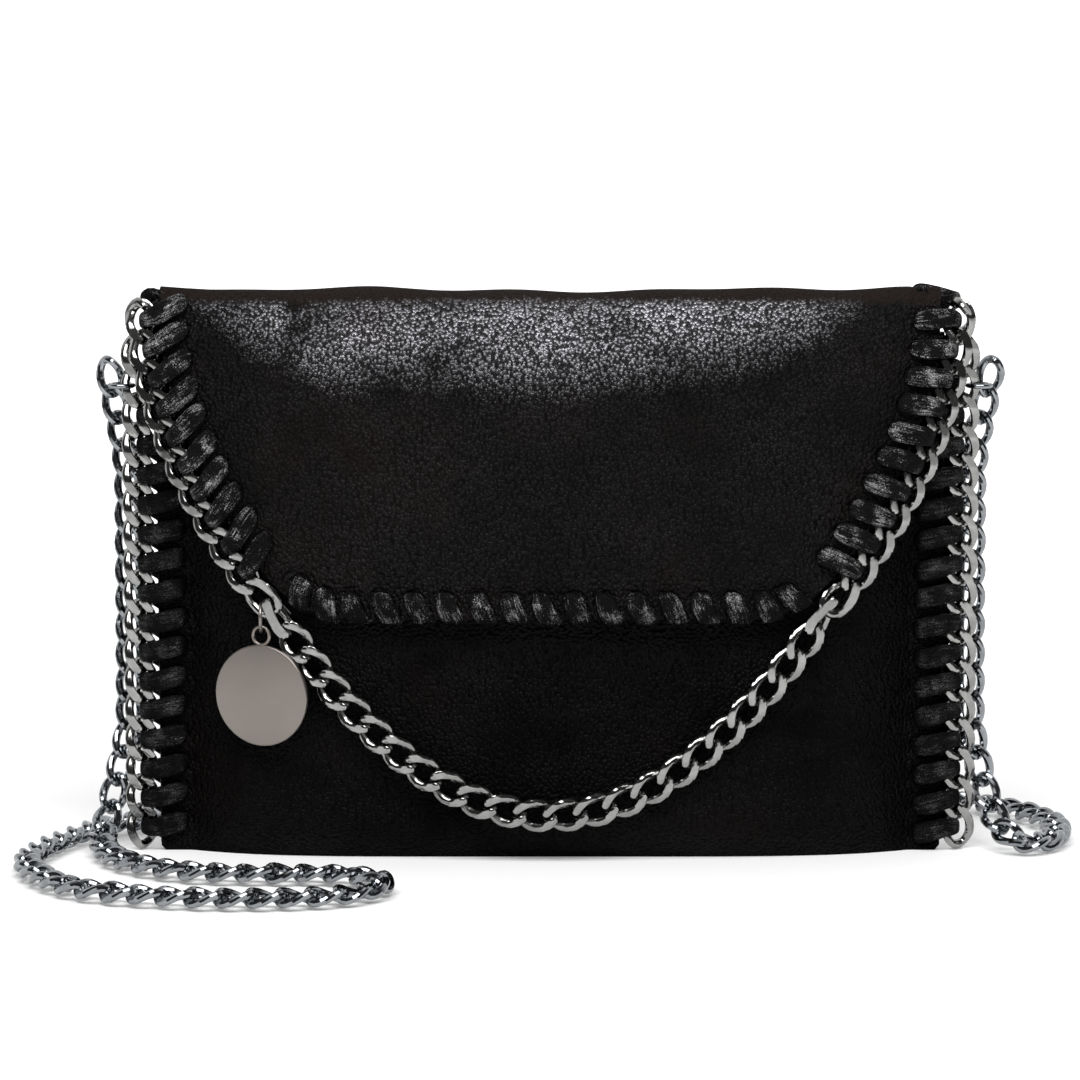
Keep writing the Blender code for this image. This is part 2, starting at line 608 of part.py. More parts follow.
def build_body():
    walls = [body_sheet("front_panel", -1, BODY_HALF_WIDTH, body_foot, body_brow,
                        0.0, LEATHER, BLACK_LEATHER, 7),
             body_sheet("back_panel", 1, BODY_HALF_WIDTH, body_foot, level(HINGE_HEIGHT - GAP),
                        0.0, LEATHER, BLACK_LEATHER, 7)]
    lens_plate("base_panel", BASE_HALF_WIDTH, LEATHER + 2 * GAP, 0.0, LEATHER, BLACK_LEATHER)
    board_low = LEATHER + GAP
    lens_plate("base_board", BOARD_HALF_WIDTH, LEATHER + 2 * GAP, board_low, BASE_BOARD, GREY_BOARD)
    floor_low = board_low + BASE_BOARD + GAP
    lens_plate("lining_base", BOARD_HALF_WIDTH, BACK_LINING_INSET + LINING + CLOTH_GAP, floor_low, LINING,
               BLACK_CLOTH)
    body_sheet("lining_front", -1, LINING_HALF_WIDTH, level(floor_low), level(LINING_TOP),
               FRONT_LINING_INSET, LINING, BLACK_CLOTH, 6)
    body_sheet("lining_back", 1, BACK_LINING_HALF_WIDTH, level(floor_low), level(LINING_TOP),
               BACK_LINING_INSET, LINING, BLACK_CLOTH, 6)
    body_sheet("slip_pocket", -1, SLIP_POCKET_HALF_WIDTH, level(SLIP_POCKET_LOW), level(SLIP_POCKET_HIGH),
               SLIP_POCKET_INSET, LINING, BLACK_CLOTH, 3)
    body_sheet("pocket_bag", 1, POCKET_HALF_WIDTH, level(POCKET_LOW), level(POCKET_HIGH),
               POCKET_INSET, POCKET_CLOTH, BLACK_CLOTH, 3)
    return walls


CHAIN_OUT = CHAIN_GAP + LINK_WIDTH / 2
TOP_SLOT_REACH = STITCH_LAG + THONG_WIDTH / 2 + SLOT_SPARE
SIDE_LINKS = int((SHOULDER_HEIGHT - TOP_SLOT_REACH - SIDE_CHAIN_LOW) / LINK_PITCH + 1.5)
RING_HEIGHT = SIDE_CHAIN_LOW + (SIDE_LINKS - 0.5) * LINK_PITCH
RING_REACH = BODY_HALF_WIDTH + CHAIN_GAP + LINK_WIDTH - WIRE / 2 + STRAP_RING_OUT


def build_side_seams(walls):
    """Chains and lacing of the side seams. The thong runs down the left and up the right."""
    slot_boxes = bmesh.new()
    link_heights = [SIDE_CHAIN_LOW + (k + 0.5) * LINK_PITCH for k in range(SIDE_LINKS)]
    for side, word in ((-1, "left"), (1, "right")):
        seats = [Vector((side * (BODY_HALF_WIDTH + CHAIN_OUT), 0.0, SIDE_CHAIN_LOW + k * LINK_PITCH))
                 for k in range(SIDE_LINKS, -1, -1)]
        make_chain("side_chain_" + word, seats, [FORWARD] * len(seats))
        ends = (-LINK_PITCH, HINGE_HEIGHT)[::side]
        heights = np.linspace(*ends, SIDE_LINKS + 1)
        track = frames_along([Vector((side * BODY_HALF_WIDTH, 0.0, h)) for h in heights],
                             [FORWARD] * len(heights))
        stops = sorted(abs(h - ends[0]) for h in link_heights[:-1])
        slots = make_lacing("side_lacing_" + word, track, stops, True, SEAM_HALF_DEPTH, GAP)
        add_slot_boxes(slot_boxes, slots, SEAM_HALF_DEPTH + OVERRUN)
    cutter = make_cutter("side_slots", mesh_from_bmesh("side_slots", slot_boxes))
    for wall in walls:
        add_boolean(wall, cutter, "DIFFERENCE")


def build_strap_rings():
    """Open rings in the top links of the side chains, which carry the strap."""
    for side, word in ((-1, "left"), (1, "right")):
        make_wire_ring("strap_ring_" + word, STRAP_RING_RADIUS, STRAP_RING_WIRE, 14, 6, GUNMETAL,
                       Matrix.Translation((side * RING_REACH, 0.0, RING_HEIGHT)))


# Flap

def flap_height_at(turn):
    """Height on the flap's front at a turn, and the top of the fold behind it."""
    return flap_section(0.0, turn).z if turn > math.pi / 2 else FLAP_TOP


def flap_normal(x, turn):
    across = flap_section(x + FRAME_REACH, turn) - flap_section(x - FRAME_REACH, turn)
    onward = flap_section(x, min(math.pi, turn + TURN_STEP)) - flap_section(x, max(0.0, turn - TURN_STEP))
    return onward.cross(across).normalized()


def flap_sheet(name, shares, turns, margin, corner, lift, thickness, finish, outward):
    """A sheet along the flap, lifted from the leather's inner face towards the bag. The shares
    place its columns from the middle out; its last row rises at the corners."""
    across = [-s for s in reversed(shares[1:])] + list(shares)
    heights = [flap_height_at(turn) for turn in turns]

    def point_at(column, row):
        share = across[column]
        turn = turns[row]
        height = heights[row]
        if corner and row == len(turns) - 1:
            height += corner_rise(max(0.0, (abs(share) - CORNER_SHARE) / (1.0 - CORNER_SHARE)))
            turn = flap_turn_at(height)
        x = (flap_side(height) - margin) * share
        return flap_section(x, turn) - flap_normal(x, turn) * lift

    sheet = place_mesh(name, grid_mesh(name, len(across) - 1, len(turns) - 1, point_at, UP), finish)
    solidify(sheet, thickness, outward)
    return sheet


CORNER_SHARE = 1.0 - FLAP_CORNER / flap_side(FLAP_HEM)
LEATHER_COLUMNS = (0.0, 0.24, 0.46, 0.66, CORNER_SHARE, 0.955, 1.0)
LINING_COLUMNS = (0.0, 0.35, 0.65, 0.88, 1.0)
BACK_TURNS = (0.0, math.radians(29.0), math.radians(58.0), math.radians(83.0))
FRONT_ROWS = (0.995, 0.966, 0.904, 0.807, 0.666, 0.515, 0.372, 0.25, 0.0)


def build_flap_sheets():
    """The rows of the front are shares of its height above the hem."""
    front = [flap_turn_at(FLAP_HEM + (FLAP_TOP - FLAP_HEM) * share) for share in FRONT_ROWS]
    leather = flap_sheet("flap_leather", LEATHER_COLUMNS, [*BACK_TURNS, *front], 0.0, True, 0.0, LEATHER,
                         BLACK_LEATHER, outward=True)
    lining_low = flap_turn_at(FLAP_HEM + LINING_MARGIN)
    lining = flap_sheet("flap_lining", LINING_COLUMNS, [LINING_TURN_FROM, *BACK_TURNS[1:], *front[1:-1], lining_low],
                        LINING_MARGIN, False, 2 * GAP + WASHER, FLAP_LINING, BLACK_CLOTH, outward=False)
    return leather, lining


def flap_edge_track():
    """The flap's cut edge on the middle of its leather, from the back of the fold at the left,
    down the left side, along the hem and up the right side."""
    side = [(-FLAP_HALF_WIDTH, turn) for turn in np.linspace(FOLD_TURN_FROM, math.pi / 2, 12, endpoint=False)]
    for swing in np.linspace(0.0, math.pi, 160, endpoint=False):
        height = FLAP_HEM + (FLAP_TOP - FLAP_HEM) * (1.0 + math.cos(swing)) / 2
        side.append((-flap_half_width(height), flap_turn_at(height)))
    corner = flap_half_width(FLAP_HEM)
    hem = [(x, math.pi) for x in np.linspace(-corner, corner, 80)]
    places = side + hem + [(-x, turn) for x, turn in reversed(side)]
    normals = [flap_normal(x, turn) for x, turn in places]
    points = [flap_section(x, turn) + normal * LEATHER / 2 for (x, turn), normal in zip(places, normals)]
    return frames_along(points, normals)


def fold_top_length(track):
    """Running length at which the left edge passes the top of the fold."""
    lengths, line, _ = track
    return float(lengths[int(np.argmax(line[:len(lengths) // 2, 2]))])


def chain_stations(track, start, count):
    """Running lengths along an edge whose seats, outside it, lie one link's pitch apart."""
    lengths = []
    seats = []
    faces = []
    length = start
    for k in range(count + 1):
        for _ in range(12 if seats else 1):
            point, direction, face = frame_at(track, length)
            seat = point + direction.cross(face) * CHAIN_OUT
            if seats:
                length -= (seat - seats[-1]).length - LINK_PITCH
        lengths.append(length)
        seats.append(seat)
        faces.append(face)
        length += LINK_PITCH
    return lengths, seats, faces


def mirrored(vector):
    return Vector((-vector.x, vector.y, vector.z))


def build_flap_trim(leather):
    """Chains and lacing of the flap. The last link of each chain is left free for the swag."""
    track = flap_edge_track()
    total = float(track[0][-1])
    chain_from = fold_top_length(track) + FLAP_CHAIN_START
    hem_half_length = flap_half_width(FLAP_HEM)
    links = int((total / 2 - hem_half_length - FLAP_CHAIN_END - chain_from) / LINK_PITCH)
    lengths, seats, faces = chain_stations(track, chain_from, links)
    chains = [make_chain("flap_chain_left", seats, faces, last_twist=0.0),
              make_chain("flap_chain_right", [mirrored(p) for p in seats], [mirrored(n) for n in faces],
                         last_twist=0.0)]
    laced = [(low + high) / 2 for low, high in zip(lengths, lengths[1:-1])]
    hem_from = lengths[-1] + WIRE + GAP + THONG_WIDTH / 2
    stitches = round((total - 2 * hem_from) / HEM_PITCH) + 1
    hem = [float(h) for h in np.linspace(hem_from, total - hem_from, stitches)]
    slots = make_lacing("flap_lacing_left", track, laced, True, LEATHER / 2, BACK_GAP)
    slots += make_lacing("flap_lacing_hem", track, hem, False, LEATHER / 2, BACK_GAP)
    slots += make_lacing("flap_lacing_right", track, [total - s for s in reversed(laced)], True,
                         LEATHER / 2, BACK_GAP)
    slot_boxes = bmesh.new()
    add_slot_boxes(slot_boxes, slots, LEATHER / 2 + OVERRUN)
    add_boolean(leather, make_cutter("flap_slots", mesh_from_bmesh("flap_slots", slot_boxes)), "DIFFERENCE")
    laces = [bpy.data.objects["flap_lacing_" + word] for word in ("left", "hem", "right")]
    return chains + laces, seats, faces


# Swag

def swag_seats(hanger, low, pitches):
    """Seats along a parabola between the two hangers, evenly spaced, for a lowest height."""
    depth = body_half_depth(0.0, low) + SWAG_LIFT
    slope = Vector((hanger.x, 0.0, 2.0 * (hanger.z - low))).normalized()
    start = hanger + slope * (HANGER_PLAY - (WIRE - LINK_SEAT) / 2)
    across = np.linspace(start.x, -start.x, 801)
    share = (across / start.x) ** 2
    line = np.stack([across, -depth + (start.y + depth) * share, low + (start.z - low) * share], axis=1)
    lengths = np.concatenate([[0.0], np.cumsum(np.linalg.norm(np.diff(line, axis=0), axis=1))])
    places = np.linspace(0.0, lengths[-1], pitches + 1)
    return [Vector([float(np.interp(s, lengths, line[:, k])) for k in range(3)]) for s in places]


def swag_length(hanger, low):
    """Length of the swag's line for a lowest height."""
    seats = swag_seats(hanger, low, SWAG_MEASURE_STEPS)
    return sum((after - before).length for before, after in zip(seats, seats[1:]))


def build_swag(seats):
    """The links that best reach down to the swag's lowest height, and the line that they fit."""
    along = (seats[-1] - seats[-2]).normalized()
    hanger = seats[-1] + along * (WIRE - LINK_SEAT) / 2
    count = round(swag_length(hanger, SWAG_LOW) / LINK_PITCH)
    lowest = SWAG_LOW - hanger.z
    highest = hanger.z
    for _ in range(40):
        low = (lowest + highest) / 2
        links = swag_seats(hanger, low, count)
        if (links[1] - links[0]).length > LINK_PITCH:
            lowest = low
        else:
            highest = low
    swag = make_chain("swag_chain", links, [FORWARD] * len(links), first_twist=math.pi / 2,
                      last_twist=-math.pi / 2)
    hang_on("swag_pivot", (0.0, hanger.y, hanger.z), [swag])


# Charm

def build_charm(seats, faces):
    """The ring hooks the left chain's last link below its outer side. The disc hangs in the ring."""
    along = (seats[-1] - seats[-2]).normalized()
    front = ((faces[-1] + faces[-2]) / 2)
    front = (front - along * front.dot(along)).normalized()
    half_length = (LINK_PITCH + WIRE - LINK_SEAT) / 2
    reach = SIDE_SHARE + (1.0 - SIDE_SHARE) * RING_HOOK_SHARE
    angle = -LINK_TWIST * (1.0 - reach) / 2
    tilted = front.cross(along) * math.cos(angle) + front * math.sin(angle)
    half_width = (LINK_WIDTH - WIRE) / 2 * (1.0 - (1.0 - TIP_SHARE) * RING_HOOK_SHARE)
    strand = (seats[-1] + seats[-2]) / 2 + along * half_length * reach - tilted * half_width
    centre = strand + UP * (RING_LIFT - RING_RADIUS)
    ring = make_wire_ring("charm_ring", RING_RADIUS, RING_WIRE, 14, 6, WARM_STEEL,
                          Matrix.Translation(centre) @ Matrix.Rotation(math.pi / 2, 4, "Y"))
    hang_on("charm_ring_pivot", strand, [ring])

    ring_low = centre - UP * RING_RADIUS
    bail = ring_low + UP * (RING_WIRE / 2 + BAIL_WIRE / 2 + GAP - BAIL_RADIUS)
    middle = bail - UP * (BAIL_RADIUS + DISC_RADIUS)
    facing = Matrix.Rotation(DISC_TURN, 4, "Z") @ Matrix.Rotation(math.pi / 2, 4, "X")
    edge = DISC * DISC_EDGE_SHARE
    profile = [(0.0, -DISC / 2), (DISC_RADIUS - edge, -DISC / 2), (DISC_RADIUS, -DISC / 2 + edge),
               (DISC_RADIUS, DISC / 2 - edge), (DISC_RADIUS - edge, DISC / 2), (0.0, DISC / 2)]
    disc = make_turned("charm_disc", profile, 30, WARM_STEEL, Matrix.Translation(middle) @ facing)
    loop = make_cutter("charm_bail", wire_ring_mesh("charm_bail", BAIL_RADIUS, BAIL_WIRE, 12, 6,
                                                    Matrix.Translation(bail) @ facing))
    add_boolean(disc, loop, "UNION")
    hang_on("charm_pivot", ring_low, [disc])


# Magnetic snap

def build_snap():
    """Socket on the front panel, stud on the flap's lining, each with its washer behind."""
    panel = body_half_depth(0.0, SNAP_HEIGHT)
    towards_front = Matrix.Rotation(math.pi / 2, 4, "X")
    rim = SOCKET * DISC_EDGE_SHARE

    def at(depth):
        return Matrix.Translation((0.0, -depth, SNAP_HEIGHT)) @ towards_front

    socket = [(0.0, 0.0), (SOCKET_RADIUS, 0.0), (SOCKET_RADIUS, SOCKET - rim), (SOCKET_RADIUS - rim, SOCKET),
              (SOCKET_WELL_RADIUS, SOCKET), (SOCKET_WELL_RADIUS, SOCKET - SOCKET_WELL),
              (0.0, SOCKET - SOCKET_WELL)]
    make_turned("snap_socket", socket, 16, GUNMETAL, at(panel + GAP))
    washer = [(0.0, 0.0), (WASHER_RADIUS, 0.0), (WASHER_RADIUS, WASHER), (0.0, WASHER)]
    make_turned("socket_washer", washer, 16, GUNMETAL, at(panel - LEATHER - GAP - WASHER))

    leather = panel + FLAP_STANDOFF
    stud_back = leather - 2 * GAP - WASHER - FLAP_LINING - GAP
    stud = [(0.0, 0.0), (SOCKET_RADIUS, 0.0), (SOCKET_RADIUS, -STUD_PLATE), (STUD_NUB_RADIUS, -STUD_PLATE),
            (STUD_NUB_RADIUS, -STUD_PLATE - STUD_NUB), (0.0, -STUD_PLATE - STUD_NUB)]
    stud_piece = make_turned("snap_stud", stud, 16, GUNMETAL, at(stud_back))
    washer_piece = make_turned("stud_washer", washer, 16, GUNMETAL, at(leather - GAP - WASHER))
    return [stud_piece, washer_piece]


# Zip of the back pocket

def build_zip():
    corner = body_half_depth(ZIP_HALF_WIDTH, ZIP_HEIGHT + ZIP_TAPE_HALF_HEIGHT)
    tape_back = corner - BACK_LINING_INSET - LINING - CLOTH_GAP
    tape_face = tape_back - ZIP_TAPE
    coil_back = tape_face - GAP
    coil_face = coil_back - ZIP_COIL
    roof = coil_face - GAP
    crown = roof - SLIDER_WALL
    start = -SLIDER_TRAVEL / 2
    tape = block_mesh("zip_tape", (-ZIP_HALF_WIDTH, tape_face, ZIP_HEIGHT - ZIP_TAPE_HALF_HEIGHT),
                      (ZIP_HALF_WIDTH, tape_back, ZIP_HEIGHT + ZIP_TAPE_HALF_HEIGHT))
    place_mesh("zip_tape", tape, BLACK_CLOTH)
    coil = block_mesh("zip_coil", (-ZIP_HALF_WIDTH, coil_face, ZIP_HEIGHT - ZIP_COIL_HALF_HEIGHT),
                      (ZIP_HALF_WIDTH, coil_back, ZIP_HEIGHT + ZIP_COIL_HALF_HEIGHT))
    place_mesh("zip_coil", coil, GUNMETAL)

    def block_at(name, low, high):
        return block_mesh(name, (start + low[0], low[1], ZIP_HEIGHT + low[2]),
                          (start + high[0], high[1], ZIP_HEIGHT + high[2]))

    arch_reach = ARCH_HALF_OPENING + ARCH_WALL
    arch_crown = crown - ARCH_OPENING_HEIGHT - ARCH_BAR
    channel = ZIP_COIL_HALF_HEIGHT + GAP
    slider = place_mesh("zip_slider", block_at("zip_slider", (-SLIDER_LENGTH / 2, crown, -SLIDER_HALF_HEIGHT),
                                               (SLIDER_LENGTH / 2, coil_back, SLIDER_HALF_HEIGHT)), GUNMETAL)
    for name, operation, low, high in (
            ("slider_channel", "DIFFERENCE", (-SLIDER_LENGTH, roof, -channel),
             (SLIDER_LENGTH, coil_back + OVERRUN, channel)),
            ("slider_arch", "UNION", (-arch_reach, arch_crown, -ARCH_HALF_WIDTH),
             (arch_reach, crown + SLIDER_WALL / 2, ARCH_HALF_WIDTH)),
            ("slider_eye", "DIFFERENCE", (-ARCH_HALF_OPENING, crown - ARCH_OPENING_HEIGHT, -SLIDER_HALF_HEIGHT),
             (ARCH_HALF_OPENING, crown, SLIDER_HALF_HEIGHT))):
        add_boolean(slider, make_cutter(name, block_at(name, low, high)), operation)

    hinge = crown - ARCH_OPENING_HEIGHT / 2
    pull = place_mesh("zip_pull", block_at("zip_pull", (-PULL_CROSSBAR, hinge - PULL / 2, -PULL_WIDTH / 2),
                                           (PULL_LENGTH, hinge + PULL / 2, PULL_WIDTH / 2)), GUNMETAL)
    hole = block_at("pull_hole", (PULL_CROSSBAR, hinge - PULL, -PULL_HOLE_HALF_WIDTH),
                    (PULL_HOLE_END, hinge + PULL, PULL_HOLE_HALF_WIDTH))
    add_boolean(pull, make_cutter("pull_hole", hole), "DIFFERENCE")
    corners = pull.modifiers.new("corners", "BEVEL")
    corners.width = PULL_CROSSBAR / 2
    corners.limit_method = "ANGLE"
    hang_on("slider_pivot", (start, coil_face, ZIP_HEIGHT), [slider])
    hang_on("pull_pivot", (start, hinge, ZIP_HEIGHT), [pull])


# Strap

def smooth_route(route, count):
    """Points on a smooth curve through the route's points, closer together in its bends."""
    points = [Vector(p) for p in route]
    points = [points[0] * 2 - points[1]] + points + [points[-1] * 2 - points[-2]]
    fine = []
    for before, here, after, beyond in zip(points, points[1:], points[2:], points[3:]):
        for t in np.linspace(0.0, 1.0, 20, endpoint=False):
            t = float(t)
            fine.append((here * 2 + (after - before) * t + (before * 2 - here * 5 + after * 4 - beyond) * t * t
                         + (here * 3 - before - after * 3 + beyond) * t * t * t) / 2)
    fine.append(points[-2])
    line = np.array([tuple(p) for p in fine])
    steps = np.diff(line, axis=0)
    lengths = np.linalg.norm(steps, axis=1)
    headings = steps / lengths[:, None]
    turns = np.arccos(np.clip((headings[1:] * headings[:-1]).sum(axis=1), -1.0, 1.0))
    weights = lengths + STRAP_TURN_WEIGHT * np.concatenate([[0.0], turns])
    measure = np.concatenate([[0.0], np.cumsum(weights)])
    places = np.linspace(0.0, measure[-1], count)
    return np.stack([np.interp(places, measure, line[:, k]) for k in range(3)], axis=1), float(lengths.sum())


def build_strap():
    floor = STRAP_RADIUS + GAP
    route = [(x * RING_REACH, y * BODY_HALF_DEPTH, floor + z * (RING_HEIGHT - floor))
             for x, y, z in STRAP_ROUTE_SHARES]
    points, length = smooth_route(route, STRAP_STEPS + 1)
    curve = bpy.data.curves.new("strap_chain", "CURVE")
    curve.dimensions = "3D"
    curve.bevel_depth = STRAP_RADIUS
    curve.bevel_resolution = 2
    curve.use_fill_caps = True
    spline = curve.splines.new("POLY")
    spline.points.add(len(points) - 1)
    for place, (x, y, z) in zip(spline.points, points):
        place.co = (x, y, z, 1.0)
    strap = bpy.data.objects.new("strap_chain", curve)
    bpy.context.collection.objects.link(strap)
    curve.materials.append(make_material("strap_chain", *GUNMETAL))
    print("strap length in metres", round(length, 4))


if __name__ == "__main__":
    body_walls = build_body()
    build_side_seams(body_walls)
    build_strap_rings()
    flap_leather, flap_lining = build_flap_sheets()
    trim, flap_seats, flap_faces = build_flap_trim(flap_leather)
    build_swag(flap_seats)
    build_charm(flap_seats, flap_faces)
    flap_pieces = [flap_leather, flap_lining] + trim + build_snap()
    hang_on("flap_pivot", (0.0, body_half_depth(0.0, HINGE_HEIGHT) + GAP, HINGE_HEIGHT - GAP / 2), flap_pieces)
    build_zip()
    build_strap()
    # the origin lies under the middle of the overall depth, which the flap's lacing adds to
    front_reach = FLAP_DEPTH + LEATHER + GAP + THONG
    for shown in bpy.data.objects:
        if shown.parent is None:
            shown.location.y += (front_reach - BODY_HALF_DEPTH) / 2
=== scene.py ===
import math

import bmesh
import bpy
import numpy as np
from mathutils import Matrix, Vector


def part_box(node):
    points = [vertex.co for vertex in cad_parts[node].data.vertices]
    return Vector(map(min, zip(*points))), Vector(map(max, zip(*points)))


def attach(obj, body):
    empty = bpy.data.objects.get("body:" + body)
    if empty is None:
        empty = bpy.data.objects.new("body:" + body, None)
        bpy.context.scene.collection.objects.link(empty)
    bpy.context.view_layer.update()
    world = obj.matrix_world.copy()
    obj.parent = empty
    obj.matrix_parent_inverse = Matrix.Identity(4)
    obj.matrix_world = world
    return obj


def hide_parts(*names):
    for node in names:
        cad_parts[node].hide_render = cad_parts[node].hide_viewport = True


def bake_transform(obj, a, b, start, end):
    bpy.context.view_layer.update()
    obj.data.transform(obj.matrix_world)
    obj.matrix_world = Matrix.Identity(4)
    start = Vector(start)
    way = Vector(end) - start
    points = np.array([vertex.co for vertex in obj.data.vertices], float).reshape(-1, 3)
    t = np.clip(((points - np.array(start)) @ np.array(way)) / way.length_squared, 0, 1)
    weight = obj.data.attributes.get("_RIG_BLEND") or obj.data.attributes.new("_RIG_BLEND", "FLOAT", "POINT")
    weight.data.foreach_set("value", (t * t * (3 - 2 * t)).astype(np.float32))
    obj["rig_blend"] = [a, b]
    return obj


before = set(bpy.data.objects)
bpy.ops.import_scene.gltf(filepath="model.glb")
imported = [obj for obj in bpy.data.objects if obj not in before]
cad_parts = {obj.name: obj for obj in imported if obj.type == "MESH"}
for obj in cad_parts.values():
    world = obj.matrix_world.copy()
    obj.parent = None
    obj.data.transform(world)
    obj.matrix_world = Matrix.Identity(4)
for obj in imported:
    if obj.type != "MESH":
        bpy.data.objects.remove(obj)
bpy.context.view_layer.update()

millimetre = 0.001
up = Vector((0.0, 0.0, 1.0))
forward = Vector((0.0, -1.0, 0.0))
seamDepth = 3.85 * millimetre    # the plane of the side seams, behind the middle of the overall depth

print("frame loaded")


# objects and meshes

def addObject(name, data):
    added = bpy.data.objects.new(name, data)
    bpy.context.scene.collection.objects.link(added)
    return added


def pointMesh(name, points, faces=()):
    mesh = bpy.data.meshes.new(name)
    mesh.from_pydata([tuple(point) for point in points], [], faces)
    return mesh


def meshOf(name, shape):    # the mesh of an edited shape, which is then let go
    mesh = bpy.data.meshes.new(name)
    shape.to_mesh(mesh)
    shape.free()
    return mesh


def unit(value):    # values held between 0 and 1
    return np.clip(value, 0.0, 1.0)


# camera

cameraSet = {
    "aim": (-0.0031, -0.014, 0.0968),
    "distance": 1.30,
    "elevation": 7.5,
    "lens": 146.2,
    "sensor": 36.0,
    "near": 0.01,
}


def makeCamera(size):
    data = bpy.data.cameras.new("photoCamera")
    data.lens = size["lens"]
    data.sensor_width = size["sensor"]
    data.sensor_fit = "HORIZONTAL"
    data.clip_start = size["near"]
    camera = addObject("photoCamera", data)
    rise = math.radians(size["elevation"])
    away = Vector((0.0, -math.cos(rise), math.sin(rise)))
    camera.location = Vector(size["aim"]) + away * size["distance"]
    camera.rotation_euler = (-away).to_track_quat("-Z", "Y").to_euler()
    bpy.context.scene.camera = camera


makeCamera(cameraSet)
print("camera placed")


# node trees

class Pin:    # a socket of a node tree, with arithmetic that adds Math nodes
    def __init__(self, tree, socket=None):
        self.tree = tree
        self.socket = socket

    def add(self, kind, settings=None, inputs=None, out=0):
        node = self.tree.nodes.new(kind)
        for key, value in (settings or {}).items():
            if key == "stops":
                ramp = node.color_ramp
                ramp.elements[0].position, ramp.elements[0].color = value[0]
                ramp.elements[1].position, ramp.elements[1].color = value[-1]
                for place, colour in value[1:-1]:
                    ramp.elements.new(place).color = colour
            else:
                setattr(node, key, value)
        for key, value in (inputs or {}).items():
            if isinstance(value, Pin):
                self.tree.links.new(value.socket, node.inputs[key])
            else:
                node.inputs[key].default_value = value
        return Pin(self.tree, node.outputs[out])

    def other(self, name):    # another output of the same node
        return Pin(self.tree, self.socket.node.outputs[name])

    def maths(self, operation, first, second=0.0):
        return self.add("ShaderNodeMath", {"operation": operation}, {0: first, 1: second})

    def __add__(self, value):
        return self.maths("ADD", self, value)

    def __radd__(self, value):
        return self.maths("ADD", value, self)

    def __sub__(self, value):
        return self.maths("SUBTRACT", self, value)

    def __rsub__(self, value):
        return self.maths("SUBTRACT", value, self)

    def __mul__(self, value):
        return self.maths("MULTIPLY", self, value)

    def __rmul__(self, value):
        return self.maths("MULTIPLY", value, self)

    def __truediv__(self, value):
        return self.maths("DIVIDE", self, value)

    def __rtruediv__(self, value):
        return self.maths("DIVIDE", value, self)

    def __pow__(self, value):
        return self.maths("POWER", self, value)

    def scaled(self, factor):    # a vector times a number
        return self.add("ShaderNodeVectorMath", {"operation": "SCALE"}, {0: self, "Scale": factor})

    def plus(self, vector):
        return self.add("ShaderNodeVectorMath", {"operation": "ADD"}, {0: self, 1: vector})


# materials

def newMaterial(name, constants):    # a material, the place on the piece and the shader
    material = bpy.data.materials.new(name)
    material.use_nodes = True
    tree = material.node_tree
    shader = tree.nodes["Principled BSDF"]
    for key, value in constants.items():
        shader.inputs[key].default_value = value
    return material, Pin(tree).add("ShaderNodeTexCoord", out="Object"), shader


def feed(shader, colour, roughness, normal=None):
    for name, pin in (("Base Color", colour), ("Roughness", roughness), ("Normal", normal)):
        if pin:
            pin.tree.links.new(pin.socket, shader.inputs[name])


def polishOver(material, shader, amount, look, shade, bump):
    # a glossier finish, mixed in where the leather is polished
    glossy = amount.add("ShaderNodeBsdfPrincipled", {}, {
        "Base Color": shade, "Roughness": look["shineRoughness"], "IOR": look["shineIor"],
        "Specular Tint": look["tint"], "Normal": bump})
    matt = Pin(amount.tree, shader.outputs["BSDF"])
    both = amount.add("ShaderNodeMixShader", {}, {0: amount, 1: matt, 2: glossy})
    output = material.node_tree.nodes["Material Output"]
    amount.tree.links.new(both.socket, output.inputs["Surface"])


def grey(value):
    return (value, value, value, 1.0)


def noise(place, scale, detail=2.0, more=None, kind="FBM", out=0):
    inputs = {"Vector": place, "Scale": scale, "Detail": detail}
    return place.add("ShaderNodeTexNoise", {"noise_type": kind}, inputs | (more or {}), out)


def ramp(value, stops):
    return value.add("ShaderNodeValToRGB", {"stops": stops}, {"Fac": value})


def mixed(share, first, second):
    return share.add("ShaderNodeMix", {"data_type": "RGBA"}, {0: share, 6: first, 7: second}, out=2)


def clamped(value, low=0.0):
    return value.add("ShaderNodeClamp", {}, {"Value": value, "Min": low})


def eased(value, before, after):    # a smooth passage between two pairs of a value and its result
    span = {"From Min": before[0], "From Max": after[0], "To Min": before[1], "To Max": after[1]}
    return value.add("ShaderNodeMapRange", {"interpolation_type": "SMOOTHSTEP"}, {"Value": value} | span)


def raised(height, strength, depth):
    return height.add("ShaderNodeBump", {}, {"Strength": strength, "Distance": depth, "Height": height})


